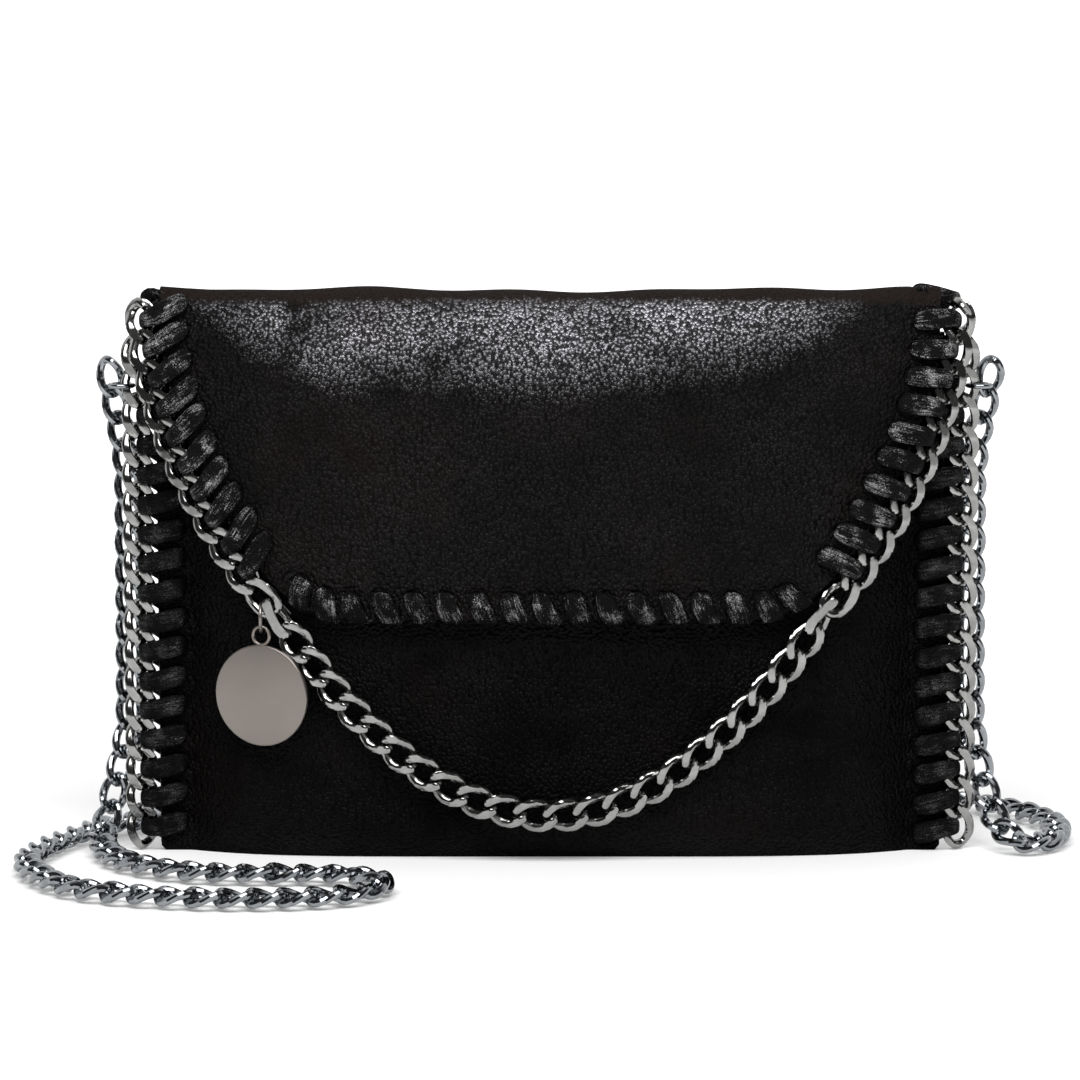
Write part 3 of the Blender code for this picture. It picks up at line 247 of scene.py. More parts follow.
def crackledLeather(name, look):
    material, place, shader = newMaterial(name, {"Specular IOR Level": look["specular"]})
    grain = look["grainScale"]
    clouds = noise(place, look["cloudScale"], 4.0, {"Roughness": 0.6})
    blotches = noise(place, look["blotchScale"], 5.0, {"Roughness": 0.65, "Distortion": 0.4})
    wobble = noise(place, grain * look["wobbleShare"], out="Color")
    bent = place.plus(wobble.scaled(look["grainWobble"]))
    cells = place.add("ShaderNodeTexVoronoi", {"feature": "SMOOTH_F1"},
                      {"Vector": bent, "Scale": grain, "Smoothness": 0.15})
    fine = noise(place, grain * look["fineShare"], 3.0, {"Roughness": 0.7})
    creases = noise(place, look["creaseScale"], 3.0, kind="RIDGED_MULTIFRACTAL")
    bumps = noise(place, grain * look["bumpShare"])
    pebble = 1.0 - cells * cells * look["cellDepth"]
    height = pebble + fine * look["fineHeight"] + bumps * look["bumpHeight"] + creases * look["creaseHeight"]
    bump = raised(height, look["bump"], look["bumpDepth"])
    shade = ramp(clouds, [(0.34, look["dark"]), (0.50, look["middle"]), (0.66, look["warm"])])
    gloss = ramp(blotches, [(0.36, grey(0.0)), (0.47, grey(0.55)), (0.60, grey(1.0))])
    grained = pebble + (fine - 0.5) * look["crestGrain"]
    crest = ramp(grained, [(0.15, grey(look["crevice"])), (0.72, grey(1.0))])
    shine = gloss * crest * look["shine"]
    rough = look["roughness"] - gloss * look["glossGain"]
    if "rimHeight" in look:    # the matt, browner nap along the top of the fold
        across = place.add("ShaderNodeSeparateXYZ", {}, {0: place})
        level = across.other("Z")
        ragged = (fine - 0.5) * look["rimGrain"] + (bumps - 0.5) * look["rimBumps"]
        nap = clamped((level - look["rimHeight"]) / look["rimSpan"] + ragged)
        shade = mixed(nap, shade, look["nap"])
        # the polish ends in an arc, and breaks up into single grains there
        aside = (across - look["polishMiddle"]) / look["polishReach"]
        foot = look["polishFoot"] + aside * aside * aside * aside * look["polishArc"]
        broken = (fine - 0.5) * look["scatter"] + (clouds - 0.5) * look["cloudScatter"]
        polished = clamped((level - foot) / look["polishSpan"] + broken, look["polishLeast"])
        behind = (look["polishBack"], look["behindShare"])
        facing = eased(across.other("Y"), behind, (look["polishFront"], 1.0))
        shine = shine * (1.0 - nap) * polished * facing
        rough = rough + nap * look["napRough"]
    feed(shader, shade, rough, bump)
    polishOver(material, shader, shine, look, shade, bump)
    return material


leatherLook = {
    "specular": 0.03, "roughness": 0.50, "glossGain": 0.10,
    "shine": 0.06, "tint": grey(1.0), "shineIor": 1.6, "shineRoughness": 0.10,
    "cloudScale": 26.0, "blotchScale": 34.0, "grainScale": 900.0, "grainWobble": 0.0006, "wobbleShare": 0.5,
    "fineShare": 2.2, "bumpShare": 0.35, "creaseScale": 240.0,
    "cellDepth": 2.2, "fineHeight": 0.50, "bumpHeight": 0.6, "creaseHeight": 0.25,
    "crestGrain": 0.6, "crevice": 0.4, "bump": 1.0, "bumpDepth": 0.00036,
    "dark": (0.0008, 0.0008, 0.0008, 1.0), "middle": (0.0015, 0.0014, 0.0014, 1.0),
    "warm": (0.0029, 0.0021, 0.0019, 1.0),
}
flapLook = leatherLook | {
    "specular": 0.05, "crevice": 0.14, "shine": 1.0, "tint": (0.95, 0.93, 1.0, 1.0), "shineIor": 3.5,
    "rimHeight": 0.1652, "rimSpan": 0.0024, "rimGrain": 0.9, "rimBumps": 1.4, "napRough": 0.32,
    "polishMiddle": -0.008, "polishReach": 0.100, "polishFoot": 0.140, "polishArc": 0.024,
    "polishSpan": 0.019, "polishLeast": 0.015, "scatter": 1.4, "cloudScatter": 0.9,
    "polishFront": 0.0, "polishBack": 0.006, "behindShare": 0.03,
    "dark": (0.0018, 0.0018, 0.0018, 1.0), "middle": (0.0028, 0.0026, 0.0025, 1.0),
    "warm": (0.0052, 0.0037, 0.0033, 1.0), "nap": (0.0130, 0.0095, 0.0083, 1.0),
}


def thongLeather(name, look):
    material, place, shader = newMaterial(name, {"Specular IOR Level": look["specular"]})
    ribbon = place.add("ShaderNodeUVMap", {"uv_map": "UVMap"})
    stretch = (look["across"], look["along"], 1.0)
    drawn = place.add("ShaderNodeMapping", {}, {"Vector": ribbon, "Scale": stretch})
    streaks = noise(drawn, 1.0, 4.0, {"Roughness": 0.65, "Distortion": 0.6})
    pores = place.add("ShaderNodeTexVoronoi", {"feature": "DISTANCE_TO_EDGE"},
                      {"Vector": place, "Scale": look["poreScale"]})
    fine = noise(place, look["fineScale"])
    patches = noise(place, look["patchScale"])
    pebble = ramp(pores, [(0.0, grey(0.0)), (0.35, grey(1.0))])
    height = streaks * look["streakHeight"] + pebble * look["poreHeight"] + fine * look["fineHeight"]
    bump = raised(height, look["bump"], look["bumpDepth"])
    shade = ramp(patches, [(0.30, look["dark"]), (0.70, look["pale"])])
    worn = streaks * 0.5 + patches * 0.5 + (fine - 0.5) * look["wornGrain"]
    shine = clamped((worn - look["wornFrom"]) * look["wornSlope"]) * look["shine"]
    feed(shader, shade, look["roughness"] + (streaks - 0.5) * look["roughSpread"], bump)
    polishOver(material, shader, shine, look, shade, bump)
    return material


thongLook = {
    "specular": 0.06, "roughness": 0.42, "roughSpread": 0.25,
    "shine": 0.6, "tint": grey(1.0), "shineIor": 1.7, "shineRoughness": 0.16,
    "across": 26.0, "along": 150.0, "poreScale": 1500.0, "fineScale": 2600.0, "patchScale": 190.0,
    "streakHeight": 1.4, "poreHeight": 0.50, "fineHeight": 0.30, "bump": 1.0, "bumpDepth": 0.00035,
    "wornFrom": 0.50, "wornSlope": 7.0, "wornGrain": 0.4,
    "dark": (0.0014, 0.0014, 0.0015, 1.0), "pale": (0.0034, 0.0033, 0.0033, 1.0),
}
flapThongLook = thongLook | {"shine": 1.0, "wornFrom": 0.52, "shineIor": 2.7, "bump": 0.8}


def polishedMetal(name, look):
    material, place, shader = newMaterial(name, {"Metallic": 1.0})
    clouds = noise(place, look["cloudScale"], 3.0)
    scratches = noise(place, look["scratchScale"], 4.0, {"Roughness": 0.7})
    rough = look["roughness"] + (scratches - 0.5) * look["roughSpread"]
    shade = ramp(clouds, [(0.35, look["dark"]), (0.65, look["pale"])])
    feed(shader, shade, rough, raised(scratches, look["bump"], look["bumpDepth"]))
    return material


gunmetalLook = {
    "cloudScale": 420.0, "scratchScale": 2400.0, "roughness": 0.13, "roughSpread": 0.08,
    "bump": 0.06, "bumpDepth": 0.0001, "dark": (0.27, 0.27, 0.265, 1.0), "pale": (0.33, 0.33, 0.32, 1.0),
}
strapLook = gunmetalLook | {
    "roughness": 0.09, "dark": (0.24, 0.25, 0.265, 1.0), "pale": (0.31, 0.325, 0.34, 1.0),
}
warmLook = gunmetalLook | {
    "cloudScale": 60.0, "scratchScale": 3200.0, "roughness": 0.36, "roughSpread": 0.12, "bump": 0.08,
    "dark": (0.270, 0.242, 0.222, 1.0), "pale": (0.292, 0.262, 0.240, 1.0),
}


def wovenCloth(name, look):
    material, place, shader = newMaterial(name, {"Specular IOR Level": look["specular"]})
    parts = place.add("ShaderNodeSeparateXYZ", {}, {0: place})
    warp = parts.maths("SINE", parts * look["threads"])
    weft = parts.maths("SINE", parts.other("Z") * look["threads"] + parts.other("Y") * look["threads"])
    weave = warp * weft
    fuzz = noise(place, look["fuzzScale"], 3.0)
    # the colour follows the weave and fuzz that make the bumps below, darker where the cloth lies lower:
    # painted shade in the hollows between the threads
    shade = ramp(weave * look["paintedWeaveShade"] + fuzz, [(0.2, look["dark"]), (0.8, look["pale"])])
    bump = raised(weave * look["weaveHeight"] + fuzz * look["fuzzHeight"], look["bump"], look["bumpDepth"])
    feed(shader, shade, look["roughness"] + fuzz * look["fuzzRough"], bump)
    return material


clothLook = {
    "specular": 0.2, "threads": 9000.0, "fuzzScale": 900.0, "paintedWeaveShade": 0.35, "weaveHeight": 0.5,
    "fuzzHeight": 0.6, "bump": 0.5, "bumpDepth": 0.0002, "roughness": 0.78, "fuzzRough": 0.2,
    "dark": (0.010, 0.010, 0.011, 1.0), "pale": (0.028, 0.027, 0.028, 1.0),
}
tapeLook = clothLook | {"threads": 12000.0, "pale": (0.020, 0.020, 0.021, 1.0)}


def greyBoard(name, look):
    material, place, shader = newMaterial(name, {"Specular IOR Level": look["specular"]})
    flecks = noise(place, look["fleckScale"], 5.0)
    shade = ramp(flecks, [(0.3, look["dark"]), (0.7, look["pale"])])
    feed(shader, shade, look["roughness"] + flecks * look["roughSpread"])
    return material


boardLook = {
    "specular": 0.2, "fleckScale": 700.0, "roughness": 0.8, "roughSpread": 0.15,
    "dark": (0.22, 0.19, 0.15, 1.0), "pale": (0.32, 0.29, 0.24, 1.0),
}

bagLeather = crackledLeather("bagLeather", leatherLook)
flapLeather = crackledLeather("flapLeather", flapLook)
laceLeather = thongLeather("laceLeather", thongLook)
flapLaceLeather = thongLeather("flapLaceLeather", flapThongLook)
chainMetal = polishedMetal("chainMetal", gunmetalLook)
strapMetal = polishedMetal("strapMetal", strapLook)
charmMetal = polishedMetal("charmMetal", warmLook)
liningCloth = wovenCloth("liningCloth", clothLook)
zipCloth = wovenCloth("zipCloth", tapeLook)
boardPaper = greyBoard("boardPaper", boardLook)
print("materials made")


# body and flap surfaces

bodySize = {
    "halfWidth": 0.1177, "seamHalfWidth": 0.1080, "mouth": 0.1520, "shoulderDrop": 0.006, "hinge": 0.1570,
    "leather": 0.0014, "gap": 0.0003, "corner": 0.0015, "tuckShare": 0.35, "tuckHeight": 0.014,
    "baseFullness": 5.5, "mouthFullness": 5.0,
}
flapSize = {
    "top": 0.1695, "hem": 0.0738, "halfWidth": 0.1162, "taper": 0.042, "taperPower": 1.9, "corner": 0.012,
    "standoff": 0.0048, "sideDepth": 0.008, "depth": 0.0228, "planHalfWidth": 0.125, "fullness": 3.0,
    "roundHigh": 4.2, "roundDeep": 1.5, "leather": 0.0014,
}
seamHalfDepth = bodySize["gap"] / 2 + bodySize["leather"]
flapDrop = flapSize["top"] - flapSize["hem"]


def bodyDepth(x, z):    # outer face of the front or back panel, from the seam plane
    rise = np.maximum(0.0, (z - flapSize["hem"]) / flapDrop)
    profile = np.maximum(0.0, 1.0 - rise ** flapSize["roundHigh"]) ** (1.0 / flapSize["roundDeep"])
    depth = profile * flapSize["depth"] - flapSize["standoff"]
    tuck = np.maximum(0.0, 1.0 - z / bodySize["tuckHeight"])
    depth = depth * (1.0 - bodySize["tuckShare"] * tuck * tuck)
    climb = np.minimum(1.0, z / bodySize["mouth"])
    fullness = bodySize["baseFullness"]
    fullness = fullness + (bodySize["mouthFullness"] - fullness) * climb * climb
    plan = np.maximum(0.0, 1.0 - np.minimum(1.0, np.abs(x) / bodySize["seamHalfWidth"]) ** fullness)
    return seamHalfDepth + (depth - seamHalfDepth) * plan


def bodyFoot(x):
    over = unit((np.abs(x) - (bodySize["halfWidth"] - bodySize["corner"])) / bodySize["corner"])
    return bodySize["corner"] * (1.0 - np.sqrt(1.0 - over * over))


def bodyBrow(x):
    return bodySize["mouth"] - bodySize["shoulderDrop"] * (np.abs(x) / bodySize["halfWidth"]) ** 6


def flapSide(z):
    fall = np.maximum(0.0, (flapSize["top"] - z) / flapDrop)
    return flapSize["halfWidth"] - flapSize["taper"] * fall ** flapSize["taperPower"]


def cornerRise(over):
    return flapSize["corner"] * (1.0 - np.sqrt(np.maximum(0.0, 1.0 - over * over)))


def flapHalfWidth(z):
    low = (flapSize["corner"] - (z - flapSize["hem"])) / flapSize["corner"]
    return flapSide(z) - cornerRise(np.maximum(0.0, low))


def flapSection(x, turn):    # the flap's inner face, from the hinge at 0 over the top to the hem at pi
    x, turn = np.broadcast_arrays(np.asarray(x, float), np.asarray(turn, float))
    back = bodyDepth(x, bodySize["hinge"]) - bodySize["leather"]
    rise = bodySize["hinge"] + (flapSize["top"] - bodySize["hinge"]) * np.sin(turn)
    backPoint = np.stack([x, back * np.cos(turn), rise], axis=-1)
    ahead = np.clip(math.pi - turn, 0.0, math.pi / 2)
    height = flapSize["hem"] + flapDrop * np.sin(ahead) ** (2.0 / flapSize["roundHigh"])
    plan = 1.0 - (np.abs(x) / flapSize["planHalfWidth"]) ** flapSize["fullness"]
    deep = flapSize["sideDepth"] + (flapSize["depth"] - flapSize["sideDepth"]) * plan
    frontPoint = np.stack([x, -deep * np.cos(ahead) ** (2.0 / flapSize["roundDeep"]), height], axis=-1)
    point = np.where((turn <= math.pi / 2)[..., None], backPoint, frontPoint)
    point[..., 1] += seamDepth
    return point


def flapTurnAt(z):
    rise = unit((z - flapSize["hem"]) / flapDrop)
    return math.pi - np.arcsin(rise ** (flapSize["roundHigh"] / 2.0))


def flapNormal(x, turn):
    sideStep = 0.0015
    step = 0.01
    across = flapSection(x + sideStep, turn) - flapSection(x - sideStep, turn)
    onward = flapSection(x, np.minimum(math.pi, turn + step)) - flapSection(x, np.maximum(0.0, turn - step))
    normal = np.cross(onward, across)
    return normal / np.linalg.norm(normal, axis=-1, keepdims=True)


# edge tracks and lacing stations

def runningLength(line):
    return np.concatenate([[0.0], np.cumsum(np.linalg.norm(np.diff(line, axis=0), axis=1))])


def pointsAt(places, lengths, line):
    return np.stack([np.interp(places, lengths, line[:, k]) for k in range(3)], axis=-1)


def uprightTo(vector, direction):    # the unit vector nearest to a vector that stands square to a direction
    return (vector - direction * vector.dot(direction)).normalized()


def trackOf(points, normals):
    line = np.array([tuple(p) for p in points])
    facing = np.array([tuple(n) for n in normals])
    return runningLength(line), line, facing


def trackAt(track, length):    # point, direction and facing at a running length
    lengths, line, facing = track
    reach = 0.0015
    direction = pointsAt(length + reach, lengths, line) - pointsAt(length - reach, lengths, line)
    direction = Vector(direction).normalized()
    face = uprightTo(Vector(pointsAt(length, lengths, facing)), direction)
    return Vector(pointsAt(length, lengths, line)), direction, face


def flapEdgeTrack():    # over the fold, down the left side, along the hem and up the right side
    backTurns = np.linspace(math.radians(3.0), math.pi / 2, 30, endpoint=False)
    places = [(-flapSize["halfWidth"], turn) for turn in backTurns]
    for swing in np.linspace(0.0, math.pi, 160, endpoint=False):
        height = flapSize["hem"] + flapDrop * (1.0 + math.cos(swing)) / 2
        places.append((-float(flapHalfWidth(height)), float(flapTurnAt(height))))
    corner = float(flapHalfWidth(flapSize["hem"]))
    hem = [(x, math.pi) for x in np.linspace(-corner, corner, 80)]
    every = places + hem + [(-x, turn) for x, turn in reversed(places)]
    xs, turns = np.array(every).T
    normals = flapNormal(xs, turns)
    return trackOf(flapSection(xs, turns) + normals * flapSize["leather"] / 2, normals)


chainSize = {
    "pitch": 0.00905, "wire": 0.0028, "width": 0.0102, "twist": math.radians(48.0), "seat": 0.0003,
    "flat": 0.0022, "flatBack": 0.0024, "squareness": 0.78, "loopSteps": 36, "wireSteps": 12, "jitter": 0.02,
    "seed": 5, "lean": math.radians(8.0), "edgeGap": 0.0006,
    "sideLow": 0.0028, "sideTop": 0.1545, "sideLinks": 17, "flapLinks": 11, "flapStart": 0.0067,
}
thongSize = {
    "thick": 0.0012, "width": 0.0062, "rest": 0.0003, "inset": 0.007, "lastShare": 0.7, "frontGap": 0.0002,
    "leftLag": 0.0045, "hemLag": 0.003, "rightLag": 0.0018, "sideLag": 0.0022,
    "sideBackGap": 0.0003, "flapBackGap": 0.0008, "corners": 20, "squareness": 0.75,
    "neckOut": 0.0052, "crest": 0.0037, "trough": 0.0034,
    "bunchFrom": 0.84, "bunchSlope": 5.0, "bunchMost": 0.6, "bunchOut": 0.002,
    "hemStitches": 17, "hemStart": 0.0023, "sideSeed": 21, "flapSeed": 33, "sway": 0.00018, "puff": 0.00010,
}
chainOut = chainSize["edgeGap"] + chainSize["width"] / 2


def chainStations(track, start, count):    # running lengths, seats and faces of links one pitch apart
    def seatAt(length):
        point, direction, face = trackAt(track, length)
        return point + direction.cross(face) * chainOut, face

    def settled(length, beside, way):
        for _ in range(12):
            seat, face = seatAt(length)
            length -= way * ((seat - beside).length - chainSize["pitch"])
        return length, seat, face

    stations = [(start, *seatAt(start))]
    for _ in range(count):
        length, seat, _ = stations[-1]
        stations.append(settled(length + chainSize["pitch"], seat, 1))
    # one more link goes over the fold, to the back
    stations.insert(0, settled(start - chainSize["pitch"], stations[0][1], -1))
    return [list(column) for column in zip(*stations)]


flapTrack = flapEdgeTrack()
flapTotal = float(flapTrack[0][-1])
foldLength = float(flapTrack[0][int(np.argmax(flapTrack[1][:len(flapTrack[0]) // 2, 2]))])
flapStations, flapSeats, flapFaces = chainStations(flapTrack, foldLength + chainSize["flapStart"],
                                                   chainSize["flapLinks"])
flapStops = [(low + high) / 2 for low, high in zip(flapStations, flapStations[1:-1])]
hemFrom = flapStations[-1] + thongSize["hemStart"] + bodySize["gap"] + thongSize["width"] / 2
hemStops = [float(h) for h in np.linspace(hemFrom, flapTotal - hemFrom, thongSize["hemStitches"])]
flapRightStops = [flapTotal - s for s in reversed(flapStops)]

sidePitch = (chainSize["sideTop"] - chainSize["sideLow"]) / chainSize["sideLinks"]
linkHeights = [chainSize["sideLow"] + (k + 0.5) * sidePitch for k in range(chainSize["sideLinks"])]
sideTracks = {}
sideStops = {}
bothSides = ((-1, "left"), (1, "right"))
for side, word in bothSides:
    ends = (-chainSize["pitch"], bodySize["hinge"])[::side]
    heights = np.linspace(*ends, chainSize["sideLinks"] + 1)
    sideTracks[word] = trackOf([(side * bodySize["halfWidth"], seamDepth, h) for h in heights],
                               [forward] * len(heights))
    sideStops[word] = sorted(abs(h - ends[0]) for h in linkHeights[:-1])


def slotFrames(track, stops, lag):
    return [trackAt(track, stop - lag) + (lag,) for stop in stops]


sideSlots = (slotFrames(sideTracks["left"], sideStops["left"], thongSize["sideLag"])
             + slotFrames(sideTracks["right"], sideStops["right"], thongSize["sideLag"]))
flapSlots = (slotFrames(flapTrack, flapStops, thongSize["leftLag"])
             + slotFrames(flapTrack, hemStops, thongSize["hemLag"])
             + slotFrames(flapTrack, flapRightStops, thongSize["rightLag"]))
print("lacing worked out")


# soft leather

pullSize = {
    "reach": 0.006, "past": 0.004, "laceEdge": 0.0006, "stitch": 0.0026,
    "crease": 0.0016, "creaseSpread": 0.12, "holeAlong": 0.0030, "holeAcross": 0.0013,
}


def pulled(points, normals, slots, press):
    # the leather is drawn in under each stitch and at each slot, and a crease runs inwards from the slot
    size = pullSize
    inset = thongSize["inset"]
    lift = np.zeros(points.shape[:-1])
    for point, direction, face, lag in slots:
        outward = direction.cross(face)
        offset = points - np.array(point)
        along = offset @ np.array(direction)
        out = offset @ np.array(outward) + inset
        near = np.abs(offset @ np.array(face)) < size["reach"]
        slant = along - np.clip(out / (inset + size["past"]), -2.5, 1.0) * lag
        laced = 1.0 / (1.0 + np.exp(-(out + size["laceEdge"]) / size["laceEdge"]))
        under = np.exp(-(slant / size["stitch"]) ** 2) * laced
        inward = np.maximum(0.0, -out)
        spread = size["crease"] + inward * size["creaseSpread"]
        fade = np.exp(-inward / press["creaseReach"])
        crease = np.exp(-(slant / spread) ** 2) * (1.0 - laced) * fade
        hole = np.exp(-(along / size["holeAlong"]) ** 2 - (out / size["holeAcross"]) ** 2)
        lift -= near * (press["under"] * under + press["crease"] * crease + press["hole"] * hole)
    return points + normals * lift[..., None]


def waves(a, b, terms):
    return sum(size * np.sin(ka * a + kb * b + phase) for size, ka, kb, phase in terms)


rimShare = 0.22


def shellMesh(name, outer, inner):    # a closed sheet between two grids of points, with a rounded rim
    rows, columns = outer.shape[:2]
    points = [outer.reshape(-1, 3), inner.reshape(-1, 3)]
    count = rows * columns
    index = np.arange(count).reshape(rows, columns)
    corners = [index[:-1, :-1], index[:-1, 1:], index[1:, 1:], index[1:, :-1]]
    quads = [np.stack(corners, axis=-1).reshape(-1, 4)]
    quads.append(quads[0][:, ::-1] + count)
    ring = np.concatenate([index[0, :-1], index[:-1, -1], index[-1, :0:-1], index[:0:-1, 0]])
    # the rim's middle line stands a little proud of the cut edge
    inside = np.concatenate([index[1, :-1], index[:-1, -2], index[-2, :0:-1], index[:0:-1, 1]])
    top = points[0][ring]
    bottom = points[1][ring]
    outward = top - points[0][inside]
    outward /= np.maximum(1e-9, np.linalg.norm(outward, axis=1, keepdims=True))
    thick = np.linalg.norm(top - bottom, axis=1, keepdims=True)
    points.append((top + bottom) / 2 + outward * thick * rimShare)
    middle = 2 * count + np.arange(len(ring))
    for low, high in ((ring, middle), (middle, ring + count)):
        quads.append(np.stack([low, high, np.roll(high, -1), np.roll(low, -1)], axis=-1))
    every = np.concatenate(points)
    every[:, 2] = np.maximum(every[:, 2], 0.0)
    return finishMesh(pointMesh(name, every.tolist(), np.concatenate(quads).tolist()))


def finishMesh(mesh, sharpAngle=math.radians(50.0)):
    shape = bmesh.new()
    shape.from_mesh(mesh)
    bmesh.ops.remove_doubles(shape, verts=shape.verts, dist=1e-7)
    bmesh.ops.dissolve_degenerate(shape, edges=shape.edges, dist=1e-8)
    bmesh.ops.recalc_face_normals(shape, faces=shape.faces)
    shape.to_mesh(mesh)
    shape.free()
    mesh.shade_smooth()
    mesh.set_sharp_from_angle(angle=sharpAngle)
    return mesh


def place(name, mesh, material, body, node=None, slot=None):
    piece = addObject(name, mesh)
    mesh.materials.clear()
    mesh.materials.append(material)
    if body:
        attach(piece, body)
    if node:
        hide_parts(node)
    return piece


def crowded(count, power):    # places from -1 to 1, closer together towards the ends
    share = np.linspace(0.0, 1.0, count)
    near = share ** power
    return np.concatenate([-near[:0:-1], near])


def gridNormals(points):
    rowStep = np.gradient(points, axis=0)
    columnStep = np.gradient(points, axis=1)
    normal = np.cross(columnStep, rowStep)
    return normal / np.maximum(1e-12, np.linalg.norm(normal, axis=-1, keepdims=True))


panelWaves = [(0.00045, 52.0, 31.0, 0.7), (0.00035, -38.0, 66.0, 2.1), (0.0003, 88.0, -47.0, 4.0),
              (0.0002, 120.0, 95.0, 1.2)]
panelPress = {"under": 0.00055, "crease": 0.00075, "hole": 0.0007, "creaseReach": 0.0075}
wallSize = {
    "columns": 70, "crowding": 0.75, "rows": 110, "footFade": 0.02, "topFade": 0.03, "topGap": 0.0001,
}


def bodyWall(name, side, node, high):
    size = wallSize
    xs = crowded(size["columns"], size["crowding"]) * bodySize["halfWidth"]
    rows = np.linspace(0.0, 1.0, size["rows"])[:, None]
    low = bodyFoot(xs)[None, :]
    z = low + (high(xs)[None, :] - low) * rows
    x = np.broadcast_to(xs[None, :], z.shape)
    loose = unit(1.0 - (np.abs(x) / bodySize["seamHalfWidth"]) ** 4)
    foot = unit(z / size["footFade"])
    head = unit((bodySize["hinge"] - z) / size["topFade"])
    swell = waves(x, z, panelWaves) * loose * foot * head
    outer = np.stack([x, side * bodyDepth(x, z) + seamDepth, z], axis=-1)
    normals = gridNormals(outer)
    normals *= np.sign(normals[..., 1:2] * side)
    outer = outer + normals * swell[..., None]
    outer = pulled(outer, normals, sideSlots, panelPress)
    inner = outer - normals * bodySize["leather"]
    # the two walls meet along the seams, so the inner face stays flat there
    seamFace = seamDepth + side * bodySize["gap"] / 2
    inner[..., 1] = np.where(np.abs(x) > bodySize["seamHalfWidth"], seamFace, inner[..., 1])
    return place(name, shellMesh(name, outer, inner), bagLeather, "bag", node)


def backBrow(x):
    return np.full_like(x, bodySize["hinge"] - wallSize["topGap"])


bodyWall("frontPanel", -1, "front_panel", bodyBrow)
bodyWall("backPanel", 1, "back_panel", backBrow)


clothWaves = [(1.0, 95.0, 40.0, 0.3), (0.7, -61.0, 120.0, 1.9), (0.5, 170.0, 30.0, 0.8)]
clothGrid = {"columns": 70, "rows": 60, "edgeFade": 0.012}
clothSizes = {
    # the inset is counted from the leather's inner face
    "liningFront": {"node": "lining_front", "side": -1, "halfWidth": 0.101, "low": 0.0035, "high": 0.148,
                    "inset": 0.0011, "thick": 0.0006, "rumple": 0.0002},
    "liningBack": {"node": "lining_back", "side": 1, "halfWidth": 0.094, "low": 0.0035, "high": 0.148,
                   "inset": 0.0021, "thick": 0.0006, "rumple": 0.0002},
    "slipPocket": {"node": "slip_pocket", "side": -1, "halfWidth": 0.050, "low": 0.0504, "high": 0.112,
                   "inset": 0.0023, "thick": 0.0007, "rumple": 0.0005},
    "pocketBag": {"node": "pocket_bag", "side": 1, "halfWidth": 0.058, "low": 0.0462, "high": 0.1156,
                  "inset": 0.0006, "thick": 0.0009, "rumple": 0.0001},
}


def bodyCloth(name, size):
    side = size["side"]
    xs = np.linspace(-size["halfWidth"], size["halfWidth"], clothGrid["columns"])
    z = np.linspace(size["low"], size["high"], clothGrid["rows"])[:, None] * np.ones((1, len(xs)))
    x = np.broadcast_to(xs[None, :], z.shape)
    depth = bodyDepth(x, z) - (bodySize["leather"] + size["inset"])
    outer = np.stack([x, side * depth + seamDepth, z], axis=-1)
    free = unit((size["halfWidth"] - np.abs(x)) / clothGrid["edgeFade"])
    ripple = waves(x, z, clothWaves) / sum(term[0] for term in clothWaves)
    outer[..., 1] -= side * size["rumple"] * free * (1.0 + ripple) / 2
    inner = outer.copy()
    inner[..., 1] -= side * size["thick"]
    return place(name, shellMesh(name, outer, inner), liningCloth, "bag", size["node"])


for label, size in clothSizes.items():
    bodyCloth(label, size)

plateSizes = {
    "basePanel": {"node": "base_panel", "material": bagLeather, "halfWidth": 0.098, "inset": 0.0006,
                  "low": 0.0, "thick": 0.0014, "edge": 0.0004},
    "baseBoard": {"node": "base_board", "material": boardPaper, "halfWidth": 0.086, "inset": 0.0030,
                  "low": 0.0017, "thick": 0.0015, "edge": 0.0002},
    "liningBase": {"node": "lining_base", "material": liningCloth, "halfWidth": 0.092, "inset": 0.0033,
                   "low": 0.0035, "thick": 0.0006, "edge": 0.0002},
}


def lensPlate(name, size):    # a plate in the lens-shaped plan of the base
    xs = np.sin(np.linspace(-math.pi / 2, math.pi / 2, 72)) * size["halfWidth"]
    depth = bodyDepth(xs, size["low"]) - (bodySize["leather"] + size["inset"])
    high = size["low"] + size["thick"]
    edge = size["edge"]
    rings = []
    for shrink, z in ((edge, size["low"]), (0.0, size["low"] + edge), (0.0, high - edge), (edge, high)):
        share = 1.0 - shrink / size["halfWidth"]
        height = np.full_like(xs, z)
        near = np.stack([xs * share, seamDepth - (depth - shrink), height], axis=1)
        far = np.stack([xs[::-1] * share, seamDepth + (depth[::-1] - shrink), height], axis=1)
        rings.append(np.concatenate([near, far]))
    mesh = skinMesh(name, rings, closed=False)
    return place(name, mesh, size["material"], "bag", size["node"])


def skinMesh(name, rings, closed):    # quads between rings, the ends capped or joined
    count = len(rings[0])
    total = len(rings)
    faces = []
    for r in range(total if closed else total - 1):
        low = r * count
        high = (r + 1) % total * count
        turned = [(j, (j + 1) % count) for j in range(count)]
        faces += [(low + j, low + after, high + after, high + j) for j, after in turned]
    if not closed:
        faces += [tuple(range(count)), tuple(range((total - 1) * count, total * count))]
    return finishMesh(pointMesh(name, np.concatenate(rings).tolist(), faces))


for label, size in plateSizes.items():
    lensPlate(label, size)
print("body made")


# flap

